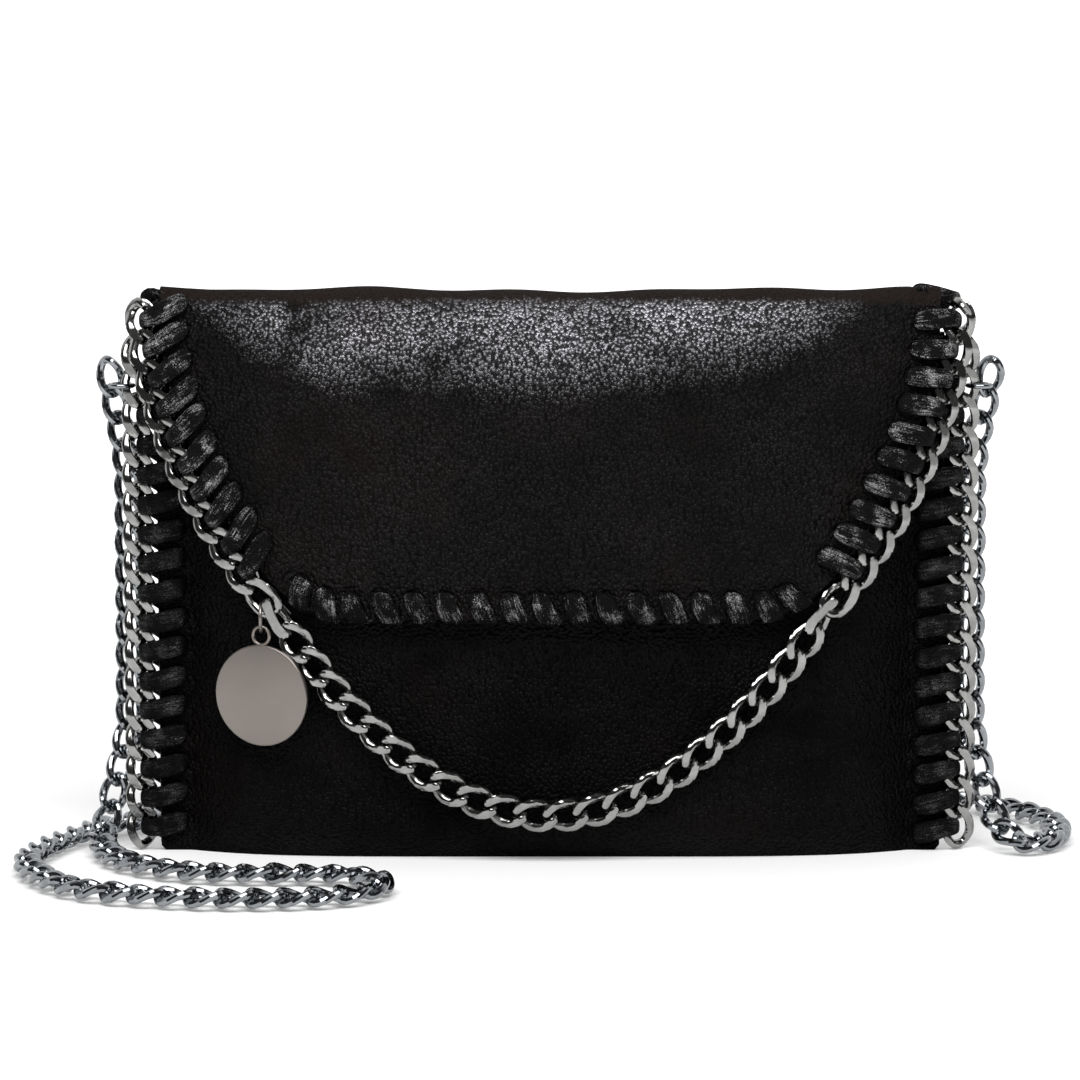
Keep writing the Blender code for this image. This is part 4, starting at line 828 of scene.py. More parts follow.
flapWaves = [(0.00040, 47.0, 60.0, 0.4), (0.00030, -72.0, 38.0, 2.6), (0.00028, 110.0, -55.0, 5.1),
             (0.00018, 150.0, 90.0, 0.9)]
flapPress = {"under": 0.00050, "crease": 0.00060, "hole": 0.0006, "creaseReach": 0.0060}
foldSplit = math.radians(66.0)    # the strip behind this turn bends with the hinge
rimSize = {
    # the top of the fold droops a little between the corners, in two waves
    "from": 0.150, "span": 0.019, "droop": 0.0011, "turnFrom": 0.3, "turnSpan": 0.7,
    "waves": [(0.0004, 71.0, 0.0, 1.0), (0.0002, 160.0, 0.0, 0.0)],
}
flapGridSize = {
    "columns": 84, "crowding": 0.8, "rows": 130, "stripRows": 26,
    "edgeFade": 0.12, "hemFade": 0.02, "foldFrom": 1.2, "foldFade": 0.4,
}


def flapGrid(shares, turns, margin, cornered):
    across = np.asarray(shares)[None, :]
    turns = np.asarray(turns)[:, None]
    front = turns > math.pi / 2
    heights = np.where(front, flapSection(0.0, turns)[..., 2], flapSize["top"])
    foot = flapSize["hem"] + margin
    if cornered:
        share = 1.0 - flapSize["corner"] / float(flapSide(flapSize["hem"]))
        foot = foot + cornerRise(np.maximum(0.0, (np.abs(across) - share) / (1.0 - share)))
    # each column runs down to its own foot, so that the rows bunch up round the corners
    if front.any():
        down = (flapSize["top"] - heights) / (flapSize["top"] - heights[-1])
        heights = np.where(front, flapSize["top"] - down * (flapSize["top"] - foot), heights)
    else:
        heights = heights + np.zeros_like(foot)
    realTurns = np.where(front, flapTurnAt(heights), turns)
    return (flapSide(heights) - margin) * across, realTurns, heights


def evenTurns(start, end, count):    # turns evenly spaced along the flap's middle
    fine = np.linspace(start, end, 4000)
    lengths = runningLength(flapSection(0.0, fine))
    return np.interp(np.linspace(0.0, lengths[-1], count), lengths, fine)


def flapRim(x, heights, turns):
    size = rimSize
    turns = turns[:, None]
    share = unit(np.abs(x) / flapSize["halfWidth"])
    level = np.where(turns > 1.0, heights, flapSize["top"])
    near = unit((level - size["from"]) / size["span"])
    droop = near * near * (1.0 - share ** 5) * (size["droop"] + waves(x, heights, size["waves"]))
    return -droop * unit((turns - size["turnFrom"]) / size["turnSpan"])


def flapLeatherPiece(name, turns):
    size = flapGridSize
    shares = crowded(size["columns"], size["crowding"])
    x, realTurns, heights = flapGrid(shares, turns, 0.0, True)
    inner = flapSection(x, realTurns)
    normals = flapNormal(x, realTurns)
    edge = unit((1.0 - np.abs(shares)[None, :]) / size["edgeFade"])
    hem = unit((heights - flapSize["hem"]) / size["hemFade"])
    front = unit((turns[:, None] - size["foldFrom"]) / size["foldFade"])
    swell = waves(x, heights, flapWaves) * edge * hem * front
    inner[..., 2] += flapRim(x, heights, turns)
    outer = inner + normals * (flapSize["leather"] + swell[..., None])
    outer = pulled(outer, normals, flapSlots, flapPress)
    return shellMesh(name, outer, inner + normals * swell[..., None])


flapTurns = evenTurns(foldSplit, math.pi - 1e-4, flapGridSize["rows"])
place("flapLeather", flapLeatherPiece("flapLeather", flapTurns), flapLeather, "flap", "flap_leather")

# the strip of leather that bends between the back panel and the flap
stripMesh = flapLeatherPiece("foldStrip", evenTurns(0.0, foldSplit, flapGridSize["stripRows"]))
foldStrip = place("foldStrip", stripMesh, flapLeather, None, slot="flap_leather")
stripTop = float(flapSection(0.0, foldSplit)[2])
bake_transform(foldStrip, "bag", "flap", start=(0.0, 0.012, bodySize["hinge"]), end=(0.0, 0.012, stripTop))


flapLiningSize = {
    "margin": 0.013, "start": math.radians(14.0), "gap": 0.0011, "thick": 0.0007,
    "columns": 40, "crowding": 0.9, "backRows": 20, "frontRows": 70, "turnGap": 0.01,
}


def flapLiningPiece():
    size = flapLiningSize
    hemTurn = float(flapTurnAt(flapSize["hem"] + size["margin"]))
    backTurns = evenTurns(size["start"], math.pi / 2, size["backRows"])
    frontTurns = evenTurns(math.pi / 2 + size["turnGap"], hemTurn, size["frontRows"])
    turns = np.concatenate([backTurns, frontTurns])
    x, realTurns, heights = flapGrid(crowded(size["columns"], size["crowding"]), turns, size["margin"], False)
    normals = flapNormal(x, realTurns)
    outer = flapSection(x, realTurns) - normals * size["gap"]
    outer[..., 2] += flapRim(x, heights, turns)
    mesh = shellMesh("flapLining", outer, outer - normals * size["thick"])
    return place("flapLining", mesh, liningCloth, "flap", "flap_lining")


flapLiningPiece()
print("flap made")


# links: one tree makes a run of twisted, hooked and filed links

linkInputs = {
    "Pitch": "pitch", "Wire": "wire", "Width": "width", "Seat": "seat", "Flat": "flat",
    "Back Flat": "flatBack", "Squareness": "squareness", "Loop Steps": "loopSteps", "Wire Steps": "wireSteps",
    "Jitter": "jitter",
}


def newTree(name, inputs):
    tree = bpy.data.node_groups.new(name, "GeometryNodeTree")
    tree.interface.new_socket("Geometry", in_out="INPUT", socket_type="NodeSocketGeometry")
    kinds = {int: "NodeSocketInt", float: "NodeSocketFloat"}
    for label, value in inputs.items():
        made = tree.interface.new_socket(label, in_out="INPUT", socket_type=kinds[type(value)])
        made.default_value = value
    tree.interface.new_socket("Material", in_out="INPUT", socket_type="NodeSocketMaterial")
    tree.interface.new_socket("Geometry", in_out="OUTPUT", socket_type="NodeSocketGeometry")
    start = Pin(tree).add("NodeGroupInput")
    return tree, {socket.name: Pin(tree, socket) for socket in start.socket.node.outputs if socket.name}


def endTree(tree, geometry, material):
    real = geometry.add("GeometryNodeRealizeInstances", {}, {0: geometry})
    painted = real.add("GeometryNodeSetMaterial", {}, {"Geometry": real, "Material": material})
    out = tree.nodes.new("NodeGroupOutput")
    tree.links.new(painted.socket, out.inputs[0])


def attribute(pin, name, kind="FLOAT_VECTOR"):
    return pin.add("GeometryNodeInputNamedAttribute", {"data_type": kind}, {"Name": name}, out="Attribute")


def roundedWave(operation, angle, squareness):    # a sine or cosine that runs round a rounded rectangle
    value = angle.maths(operation, angle)
    return value.maths("SIGN", value) * value.maths("ABSOLUTE", value) ** squareness


def circle(pin, resolution, radius):
    inputs = {"Resolution": resolution, "Radius": radius}
    return pin.add("GeometryNodeCurvePrimitiveCircle", {"mode": "RADIUS"}, inputs)


def tube(curve, profile):
    return curve.add("GeometryNodeCurveToMesh", {}, {"Curve": curve, "Profile Curve": profile})


def moved(geometry, position):
    return geometry.add("GeometryNodeSetPosition", {}, {"Geometry": geometry, "Position": position})


def joinedXYZ(pin, x, y, z=0.0):
    return pin.add("ShaderNodeCombineXYZ", {}, {"X": x, "Y": y, "Z": z})


def spread(pin, instance):    # an instance on each of the points that the tree is given
    points = pin.add("GeometryNodeMeshToPoints", {}, {0: pin})
    return pin.add("GeometryNodeInstanceOnPoints", {}, {"Points": points, "Instance": instance})


def linkTree():
    tree, given = newTree("linkRun", {label: chainSize[key] for label, key in linkInputs.items()})
    pin = given["Geometry"]
    angle = pin.add("GeometryNodeInputIndex") / given["Loop Steps"] * math.tau
    halfLength = (given["Pitch"] + given["Wire"] - given["Seat"]) * 0.5
    halfWidth = (given["Width"] - given["Wire"]) * 0.5
    oval = joinedXYZ(pin, roundedWave("COSINE", angle, given["Squareness"]) * halfLength,
                     roundedWave("SINE", angle, given["Squareness"]) * halfWidth)
    loop = moved(circle(pin, given["Loop Steps"], 1.0), oval)
    link = tube(loop, circle(pin, given["Wire Steps"], given["Wire"] * 0.5))
    kept = link.add("GeometryNodeStoreNamedAttribute", {"data_type": "FLOAT_VECTOR", "domain": "POINT"},
                    {"Geometry": link, "Name": "local", "Value": pin.add("GeometryNodeInputPosition")})
    real = pin.add("GeometryNodeRealizeInstances", {}, {0: spread(pin, kept)})
    local = pin.add("ShaderNodeSeparateXYZ", {}, {0: attribute(pin, "local")})
    x = local
    y = local.other("Y")
    z = local.other("Z")
    twistFrom = attribute(pin, "twistFrom", "FLOAT")
    twistTo = attribute(pin, "twistTo", "FLOAT")
    roll = attribute(pin, "roll", "FLOAT") * given["Jitter"]
    turn = twistFrom + (twistTo - twistFrom) * (x / halfLength + 1.0) * 0.5 + roll
    cosine = pin.maths("COSINE", turn)
    sine = pin.maths("SINE", turn)
    across = y * cosine - z * sine
    lifted = y * sine + z * cosine
    filed = pin.maths("MAXIMUM", pin.maths("MINIMUM", lifted, given["Flat"]), given["Back Flat"] * -1.0)
    along = attribute(pin, "along")
    front = attribute(pin, "front")
    side = pin.add("ShaderNodeVectorMath", {"operation": "CROSS_PRODUCT"}, {0: front, 1: along})
    spot = attribute(pin, "centre").plus(along.scaled(x)).plus(side.scaled(across)).plus(front.scaled(filed))
    endTree(tree, moved(real, spot), given["Material"])
    return tree


linkRun = linkTree()


def runTree(name, tree, mesh, settings, material, spent=()):
    # evaluates a tree on points, keeps the plain mesh and drops the attributes that steered it
    source = addObject(name + "Points", mesh)
    modifier = source.modifiers.new(tree.name, "NODES")
    modifier.node_group = tree
    given = settings | {"Material": material}
    for item in tree.interface.items_tree:
        if item.in_out == "INPUT" and item.name in given:
            modifier[item.identifier] = given[item.name]
    seen = source.evaluated_get(bpy.context.evaluated_depsgraph_get())
    result = bpy.data.meshes.new_from_object(seen)
    result.name = name
    bpy.data.objects.remove(source, do_unlink=True)
    for label in [a.name for a in result.attributes if a.name in spent]:
        result.attributes.remove(result.attributes[label])
    return result


def storeAttributes(mesh, vectors, floats):
    for label, values in vectors.items():
        mesh.attributes.new(label, "FLOAT_VECTOR", "POINT").data.foreach_set(
            "vector", np.array([tuple(v) for v in values], float).ravel())
    for label, values in floats.items():
        mesh.attributes.new(label, "FLOAT", "POINT").data.foreach_set("value", np.array(values, float))


def linkMesh(name, seats, faces, size, material, lean=0.0, firstTwist=None, lastTwist=None):
    pairs = list(zip(seats, seats[1:]))
    centres = [(a + b) / 2 for a, b in pairs]
    alongs = [(b - a).normalized() for a, b in pairs]
    fronts = [uprightTo((a + b) / 2, along) for a, b, along in zip(faces, faces[1:], alongs)]
    twistFrom = [lean + size["twist"]] * len(alongs)
    twistTo = [lean - size["twist"]] * len(alongs)
    if firstTwist is not None:
        twistFrom[0] = firstTwist
    if lastTwist is not None:
        twistTo[-1] = lastTwist
    roll = np.random.default_rng(size["seed"]).normal(0.0, 1.0, len(alongs))
    mesh = pointMesh(name + "Points", centres)
    vectors = {"along": alongs, "front": fronts, "centre": centres}
    floats = {"twistFrom": twistFrom, "twistTo": twistTo, "roll": roll}
    storeAttributes(mesh, vectors, floats)
    settings = {label: size[key] for label, key in linkInputs.items()}
    made = runTree(name, linkRun, mesh, settings, material, ["local", *vectors, *floats])
    return finishMesh(made, math.radians(28.0))


def onSide(vectors, side):    # vectors of the flap's left edge, or their mirror images on its right edge
    return [Vector((-side * v.x, v.y, v.z)) for v in vectors]


for side, word in bothSides:
    sideOut = side * (bodySize["halfWidth"] + chainOut)
    heights = [chainSize["sideLow"] + k * sidePitch for k in range(chainSize["sideLinks"], -1, -1)]
    seats = [Vector((sideOut, seamDepth, height)) for height in heights]
    label = "sideChain" + word.title()
    made = linkMesh(label, seats, [forward] * len(seats), chainSize | {"pitch": sidePitch}, chainMetal,
                    side * chainSize["lean"])
    place(label, made, chainMetal, "bag", "side_chain_" + word)
for side, word in bothSides:
    label = "flapChain" + word.title()
    made = linkMesh(label, onSide(flapSeats, side), onSide(flapFaces, side), chainSize, chainMetal,
                    side * chainSize["lean"], lastTwist=0.0)
    place(label, made, chainMetal, "flap", "flap_chain_" + word)

swagSize = chainSize | {
    "links": 24, "lift": 0.0035, "play": 0.0038, "low": 0.014265, "ease": 0.25, "seed": 11,
}


def swagSeats(hanger, low, pitches):    # evenly spaced along a hanging arc, a parabola
    depth = float(bodyDepth(0.0, low)) + swagSize["lift"] - seamDepth
    slope = Vector((hanger.x, 0.0, 2.0 * (hanger.z - low))).normalized()
    start = hanger + slope * (swagSize["play"] - (chainSize["wire"] - chainSize["seat"]) / 2)
    across = np.linspace(start.x, -start.x, 801)
    share = (across / start.x) ** 2
    line = np.stack([across, -depth + (start.y + depth) * share, low + (start.z - low) * share], axis=1)
    lengths = runningLength(line)
    return [Vector(point) for point in pointsAt(np.linspace(0.0, lengths[-1], pitches + 1), lengths, line)]


lastAlong = (flapSeats[-1] - flapSeats[-2]).normalized()
hanger = flapSeats[-1] + lastAlong * (chainSize["wire"] - chainSize["seat"]) / 2
swagLine = swagSeats(hanger, swagSize["low"], swagSize["links"])
swagMesh = linkMesh("swagChain", swagLine, [forward] * len(swagLine), swagSize, chainMetal,
                    firstTwist=-math.pi / 2 + swagSize["ease"], lastTwist=math.pi / 2)
place("swagChain", swagMesh, chainMetal, "swag", "swag_chain")
print("chains made")


# lacing: one tree sweeps a flattened section along the thong's line

sweepSettings = {"Corners": thongSize["corners"], "Squareness": thongSize["squareness"]}


def sweepTree():
    tree, given = newTree("thongSweep", sweepSettings)
    pin = given["Geometry"]
    count = pin.add("GeometryNodeAttributeDomainSize", {"component": "MESH"}, {0: pin}, out="Point Count")
    grid = pin.add("GeometryNodeMeshGrid", {}, {
        "Size X": 1.0, "Size Y": 1.0, "Vertices X": given["Corners"] + 1.0, "Vertices Y": count})
    spot = pin.add("ShaderNodeSeparateXYZ", {}, {0: pin.add("GeometryNodeInputPosition")})
    row = pin.maths("ROUND", (spot.other("Y") + 0.5) * (count - 1.0))
    turned = spot + 0.5
    angle = turned * math.tau

    def sampled(value, kind="FLOAT_VECTOR"):
        return pin.add("GeometryNodeSampleIndex", {"data_type": kind, "domain": "POINT"},
                       {"Geometry": pin, "Value": value, "Index": row})

    centre = sampled(pin.add("GeometryNodeInputPosition"))
    wide = sampled(attribute(pin, "wide")).scaled(roundedWave("COSINE", angle, given["Squareness"]))
    thick = sampled(attribute(pin, "thick")).scaled(roundedWave("SINE", angle, given["Squareness"]))
    uv = joinedXYZ(pin, turned, sampled(attribute(pin, "running", "FLOAT"), "FLOAT"))
    marked = pin.add("GeometryNodeStoreNamedAttribute", {"data_type": "FLOAT2", "domain": "CORNER"},
                     {"Geometry": grid, "Name": "UVMap", "Value": uv})
    endTree(tree, moved(marked, centre.plus(wide).plus(thick)), given["Material"])
    return tree


thongSweep = sweepTree()


def smoothPath(points, steps):    # a smooth curve through points, with values that ride along
    values = np.array(points, float)
    values = np.concatenate([[values[0] * 2 - values[1]], values, [values[-1] * 2 - values[-2]]])
    t = np.linspace(0.0, 1.0, steps, endpoint=False)[:, None]
    pieces = []
    for before, here, after, beyond in zip(values, values[1:], values[2:], values[3:]):
        pull = (before * 2 - here * 5 + after * 4 - beyond) * t * t
        swing = (here * 3 - before - after * 3 + beyond) * t * t * t
        pieces.append((here * 2 + (after - before) * t + pull + swing) / 2)
    pieces.append(values[-2:-1])
    return np.concatenate(pieces)


def thongStitch(slot, stop, following, lag, front, behind, overChain, sway, puff):
    # each point is a running length, a reach out from the edge, a lift forwards and a share of the width
    inset = thongSize["inset"]
    crest = thongSize["crest"]
    trough = -thongSize["trough"]
    neck = thongSize["neckOut"]
    onward = following - stop
    if overChain:
        middle = [
            (slot + lag * 0.25 + sway, -inset * 0.70, front + 0.0010 + puff, 1.0),
            (slot + lag * 0.60 + sway, -inset * 0.22, front + 0.0015 + puff, 1.0),
            (slot + lag * 0.88 + sway, 0.0012, crest - 0.0003, 0.94),
            (stop, 0.0034, crest - 0.0001, 0.84),
            (stop, neck, crest - 0.0020, 0.72),
            (stop, neck, 0.0, 0.64),
            (stop, neck - 0.0002, trough + 0.0010, 0.70),
            (stop + onward * 0.2, 0.0024, trough, 0.84),
            (stop + onward * 0.55, -inset * 0.3, -behind - 0.0004, 0.98),
        ]
    else:
        edge = thongSize["thick"]
        middle = [
            (slot + lag * 0.30 + sway, -inset * 0.60, front + 0.0006 + puff, 1.0),
            (slot + lag * 0.70 + sway, -inset * 0.22, front + 0.0004, 1.0),
            (stop, edge * 0.25, front * 0.75, 0.98),
            (stop, edge * 0.75, 0.0, 0.96),
            (stop, edge * 0.25, -behind * 0.8, 0.97),
            (stop + onward * 0.45, -inset * 0.4, -behind, 0.98),
        ]
    enter = [
        (slot, -inset - 0.0003, front * 0.1, 0.60),
        (slot + 0.0001, -inset + 0.0001, front + 0.0003 + puff, 0.86),
    ]
    return enter + middle + [(following, -inset + 0.0008, -behind, 0.95)]


def thongMesh(name, track, stops, lag, overChain, halfWall, backGap, seed, material):
    thick = thongSize["thick"]
    front = halfWall + thongSize["frontGap"] + thick / 2
    behind = halfWall + backGap + thick / 2
    chance = np.random.default_rng(seed)
    line = []
    onward = stops[1:] + [stops[-1] + chainSize["pitch"] * thongSize["lastShare"]]
    for stop, nextStop in zip(stops, onward):
        sway = chance.normal(0.0, thongSize["sway"])
        puff = chance.normal(0.0, thongSize["puff"])
        line += thongStitch(stop - lag, stop, nextStop - lag, lag, front, behind, overChain, sway, puff)
    fine = smoothPath(line, 5)
    centres = []
    for running, out, lift, _ in fine:
        point, direction, face = trackAt(track, running)
        centres.append(point + direction.cross(face) * out + face * lift)
    centres = np.array([tuple(c) for c in centres])
    ahead = np.gradient(centres, axis=0)
    ahead /= np.linalg.norm(ahead, axis=1, keepdims=True)
    edges = np.array([tuple(trackAt(track, running)[1]) for running in fine[:, 0]])
    wide = edges - ahead * (edges * ahead).sum(axis=1, keepdims=True)
    wide /= np.linalg.norm(wide, axis=1, keepdims=True)
    thin = np.cross(ahead, wide)
    mesh = pointMesh(name + "Line", centres.tolist())
    widths = fine[:, 3:4]
    # where the thong is drawn narrow over a link it gets thicker
    bunched = (thongSize["bunchFrom"] - widths) * thongSize["bunchSlope"]
    bunched = np.clip(bunched, 0.0, thongSize["bunchMost"]) * (np.abs(fine[:, 1:2]) > thongSize["bunchOut"])
    vectors = {"wide": wide * widths * thongSize["width"] / 2, "thick": thin * (1.0 + bunched) * thick / 2}
    floats = {"running": runningLength(centres)}
    storeAttributes(mesh, vectors, floats)
    made = runTree(name, thongSweep, mesh, sweepSettings, material, [*vectors, *floats])
    shape = bmesh.new()
    shape.from_mesh(made)
    bmesh.ops.remove_doubles(shape, verts=shape.verts, dist=1e-7)
    bmesh.ops.holes_fill(shape, edges=[e for e in shape.edges if e.is_boundary], sides=0)
    for vert in shape.verts:    # the lowest stitch is pressed flat where it rests on the floor
        vert.co.z = max(vert.co.z, thongSize["rest"])
    shape.to_mesh(made)
    shape.free()
    return finishMesh(made)


for word in ("left", "right"):
    label = "sideLacing" + word.title()
    made = thongMesh(label, sideTracks[word], sideStops[word], thongSize["sideLag"], True, seamHalfDepth,
                     thongSize["sideBackGap"], thongSize["sideSeed"], laceLeather)
    place(label, made, laceLeather, "bag", "side_lacing_" + word)
for word, stops in (("left", flapStops), ("hem", hemStops), ("right", flapRightStops)):
    label = "flapLacing" + word.title()
    lag = thongSize[word + "Lag"]
    made = thongMesh(label, flapTrack, stops, lag, word != "hem", flapSize["leather"] / 2,
                     thongSize["flapBackGap"], thongSize["flapSeed"], flapLaceLeather)
    place(label, made, flapLaceLeather, "flap", "flap_lacing_" + word)
print("lacing made")


# charm

charmSize = {
    "radius": 0.0152, "thick": 0.0015, "rim": 0.0004, "turn": math.radians(-24.0),
    "bailRadius": 0.0027, "bailWire": 0.0010, "bailGap": 0.0003,
    "ringRadius": 0.0041, "ringWire": 0.0010, "ringLift": 0.0026,
    # where along the flap chain's last link the ring hangs
    "strandShare": 0.39, "hookShare": 0.3, "narrowShare": 0.45,
}


def wireRing(name, radius, wire, matrix, opening=0.0, steps=64, sides=16):
    section = [(math.cos(a) * wire / 2, math.sin(a) * wire / 2)
               for a in (math.tau * j / sides for j in range(sides))]
    rings = []
    for k in range(steps + (1 if opening else 0)):
        turn = opening / 2 + (math.tau - opening) * k / steps
        spoke = Vector((math.cos(turn), math.sin(turn), 0.0))
        points = [matrix @ (spoke * (radius + out) + up * lift) for out, lift in section]
        rings.append(np.array([tuple(p) for p in points]))
    return skinMesh(name, rings, closed=not opening)


def turnedMesh(name, profile, matrix, segments=96, sharpAngle=math.radians(35.0)):
    shape = bmesh.new()
    verts = [shape.verts.new((r, 0.0, h)) for r, h in profile]
    edges = [shape.edges.new(pair) for pair in zip(verts, verts[1:])]
    bmesh.ops.spin(shape, geom=verts + edges, cent=(0, 0, 0), axis=(0, 0, 1), angle=math.tau, steps=segments,
                   use_merge=True)
    bmesh.ops.transform(shape, matrix=matrix, verts=shape.verts)
    return finishMesh(meshOf(name, shape), sharpAngle)


def joined(name, meshes, sharpAngle=math.radians(35.0)):
    shape = bmesh.new()
    for mesh in meshes:
        shape.from_mesh(mesh)
    mesh = meshOf(name, shape)
    mesh.shade_smooth()
    mesh.set_sharp_from_angle(angle=sharpAngle)
    return mesh


def roundedRim(radius, thick, rim, steps=5):    # the profile of a disc whose rim is softly rounded
    quarter = [math.pi / 2 * k / steps for k in range(steps + 1)]
    low = [(radius - rim + rim * math.sin(a), -thick / 2 + rim - rim * math.cos(a)) for a in quarter]
    return [(0.0, -thick / 2)] + low + [(r, -h) for r, h in reversed(low)] + [(0.0, thick / 2)]


def charmPieces():
    size = charmSize
    face = uprightTo((flapFaces[-1] + flapFaces[-2]) / 2, lastAlong)
    halfLength = (chainSize["pitch"] + chainSize["wire"] - chainSize["seat"]) / 2
    reach = size["strandShare"] + (1.0 - size["strandShare"]) * size["hookShare"]
    angle = -chainSize["twist"] * (1.0 - reach) / 2
    tilted = face.cross(lastAlong) * math.cos(angle) + face * math.sin(angle)
    halfWidth = (chainSize["width"] - chainSize["wire"]) / 2
    halfWidth *= 1.0 - size["narrowShare"] * size["hookShare"]
    strand = (flapSeats[-1] + flapSeats[-2]) / 2 + lastAlong * halfLength * reach - tilted * halfWidth
    centre = strand + up * (size["ringLift"] - size["ringRadius"])
    upright = Matrix.Translation(centre) @ Matrix.Rotation(math.pi / 2, 4, "Y")
    ring = wireRing("charmRing", size["ringRadius"], size["ringWire"], upright)
    place("charmRing", ring, charmMetal, "charm_ring", "charm_ring")
    ringLow = centre - up * size["ringRadius"]
    hold = (size["ringWire"] + size["bailWire"]) / 2 + size["bailGap"]
    bail = ringLow + up * (hold - size["bailRadius"])
    middle = bail - up * (size["bailRadius"] + size["radius"])
    facing = Matrix.Rotation(size["turn"], 4, "Z") @ Matrix.Rotation(math.pi / 2, 4, "X")
    rim = roundedRim(size["radius"], size["thick"], size["rim"])
    disc = turnedMesh("charmDisc", rim, Matrix.Translation(middle) @ facing)
    loop = wireRing("charmBail", size["bailRadius"], size["bailWire"], Matrix.Translation(bail) @ facing)
    place("charmDisc", joined("charmDisc", [disc, loop]), charmMetal, "charm", "charm_disc")


charmPieces()


# snap

snapSize = {
    "height": 0.092, "radius": 0.007, "thick": 0.0015, "well": 0.0032, "wellDepth": 0.001, "plate": 0.0005,
    "nubRadius": 0.0026, "nub": 0.0009, "washerRadius": 0.006, "washer": 0.0005, "soft": 0.0003,
    "liningRoom": 0.0007,
}


def snapPieces():
    size = snapSize
    panel = float(bodyDepth(0.0, size["height"]))
    gap = bodySize["gap"]
    soft = size["soft"]
    radius = size["radius"]
    thick = size["thick"]
    well = size["well"]
    nub = size["nubRadius"]
    nubEnd = -size["plate"] - size["nub"]
    socket = [
        (0.0, 0.0), (radius - soft, 0.0), (radius, soft), (radius, thick - 2 * soft),
        (radius - soft, thick - soft / 2), (radius - 3 * soft, thick), (well + soft, thick),
        (well, thick - soft), (well, thick - size["wellDepth"]), (0.0, thick - size["wellDepth"]),
    ]
    washer = [
        (0.0, 0.0), (size["washerRadius"], 0.0), (size["washerRadius"], size["washer"]),
        (0.0, size["washer"]),
    ]
    stud = [
        (0.0, 0.0), (radius, 0.0), (radius - soft / 2, -size["plate"]), (nub + soft, -size["plate"]),
        (nub, -size["plate"] - soft), (nub, nubEnd + soft / 2), (nub - soft, nubEnd), (0.0, nubEnd),
    ]
    leather = panel + flapSize["standoff"]
    pieces = {
        "snapSocket": ("snap_socket", "bag", socket, panel + gap),
        "socketWasher": ("socket_washer", "bag", washer, panel - bodySize["leather"] - gap - size["washer"]),
        "snapStud": ("snap_stud", "flap", stud, leather - 3 * gap - size["washer"] - size["liningRoom"]),
        "studWasher": ("stud_washer", "flap", washer, leather - gap - size["washer"]),
    }
    for label, (node, body, profile, depth) in pieces.items():
        spot = Matrix.Translation((0.0, seamDepth - depth, size["height"]))
        facing = spot @ Matrix.Rotation(math.pi / 2, 4, "X")
        place(label, turnedMesh(label, profile, facing, 64), chainMetal, body, node)


snapPieces()

ringSize = {"out": 0.12825, "radius": 0.0034, "wire": 0.0015, "opening": 0.02}

for side, word in bothSides:
    label = "strapRing" + word.title()
    spot = Matrix.Translation((side * ringSize["out"], seamDepth, linkHeights[-2]))
    turned = spot @ Matrix.Rotation(math.radians(-90.0 * side), 4, "Z")
    made = wireRing(label, ringSize["radius"], ringSize["wire"], turned, ringSize["opening"])
    place(label, made, strapMetal, "bag", "strap_ring_" + word)
print("charm, snap and rings made")


# zip: the teeth come from a tree that repeats one tooth along the tape

zipSize = {
    "halfWidth": 0.052, "toothPitch": 0.0013, "endGap": 0.0008, "zigzag": 0.0004,
    "toothLength": 0.0034, "toothWire": 0.0007, "toothDepth": 0.00028, "toothWidth": 0.00025,
    "loopSteps": 8, "wireSteps": 5, "tapeEdge": 0.00015, "metalEdge": 0.00015,
}
toothInputs = {
    "Tooth Length": "toothLength", "Tooth Wire": "toothWire", "Tooth Depth": "toothDepth",
    "Tooth Width": "toothWidth", "Loop Steps": "loopSteps", "Wire Steps": "wireSteps",
}
toothSettings = {label: zipSize[key] for label, key in toothInputs.items()}


def toothTree():
    tree, given = newTree("toothRow", toothSettings)
    pin = given["Geometry"]
    corner = pin.add("ShaderNodeSeparateXYZ", {}, {0: pin.add("GeometryNodeInputPosition")})
    squeezed = joinedXYZ(pin, corner * given["Tooth Depth"], corner.other("X") * given["Tooth Width"],
                         corner.other("Y") * given["Tooth Length"] * 0.5)
    oval = moved(circle(pin, given["Loop Steps"], 1.0), squeezed)
    tooth = tube(oval, circle(pin, given["Wire Steps"], given["Tooth Wire"] * 0.5))
    endTree(tree, spread(pin, tooth), given["Material"])
    return tree


def zipPieces():
    low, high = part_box("zip_coil")
    middle = (Vector(low) + Vector(high)) / 2
    count = int(2 * zipSize["halfWidth"] / zipSize["toothPitch"])
    reach = zipSize["halfWidth"] - zipSize["endGap"]
    spots = [(x, middle.y, middle.z + zipSize["zigzag"] * (-1) ** k)
             for k, x in enumerate(np.linspace(-reach, reach, count))]
    teeth = runTree("zipCoil", toothTree(), pointMesh("zipPoints", spots), toothSettings, chainMetal)
    place("zipCoil", finishMesh(teeth), chainMetal, "bag", "zip_coil")
    low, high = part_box("zip_tape")
    shape = bmesh.new()
    size = Matrix.Diagonal((high[0] - low[0], high[1] - low[1], high[2] - low[2], 1.0))
    centre = Matrix.Translation((Vector(low) + Vector(high)) / 2)
    bmesh.ops.create_cube(shape, size=1.0, matrix=centre @ size)
    bmesh.ops.bevel(shape, geom=shape.edges[:], offset=zipSize["tapeEdge"], segments=2, affect="EDGES")
    place("zipTape", finishMesh(meshOf("zipTape", shape)), zipCloth, "bag", "zip_tape")


zipPieces()


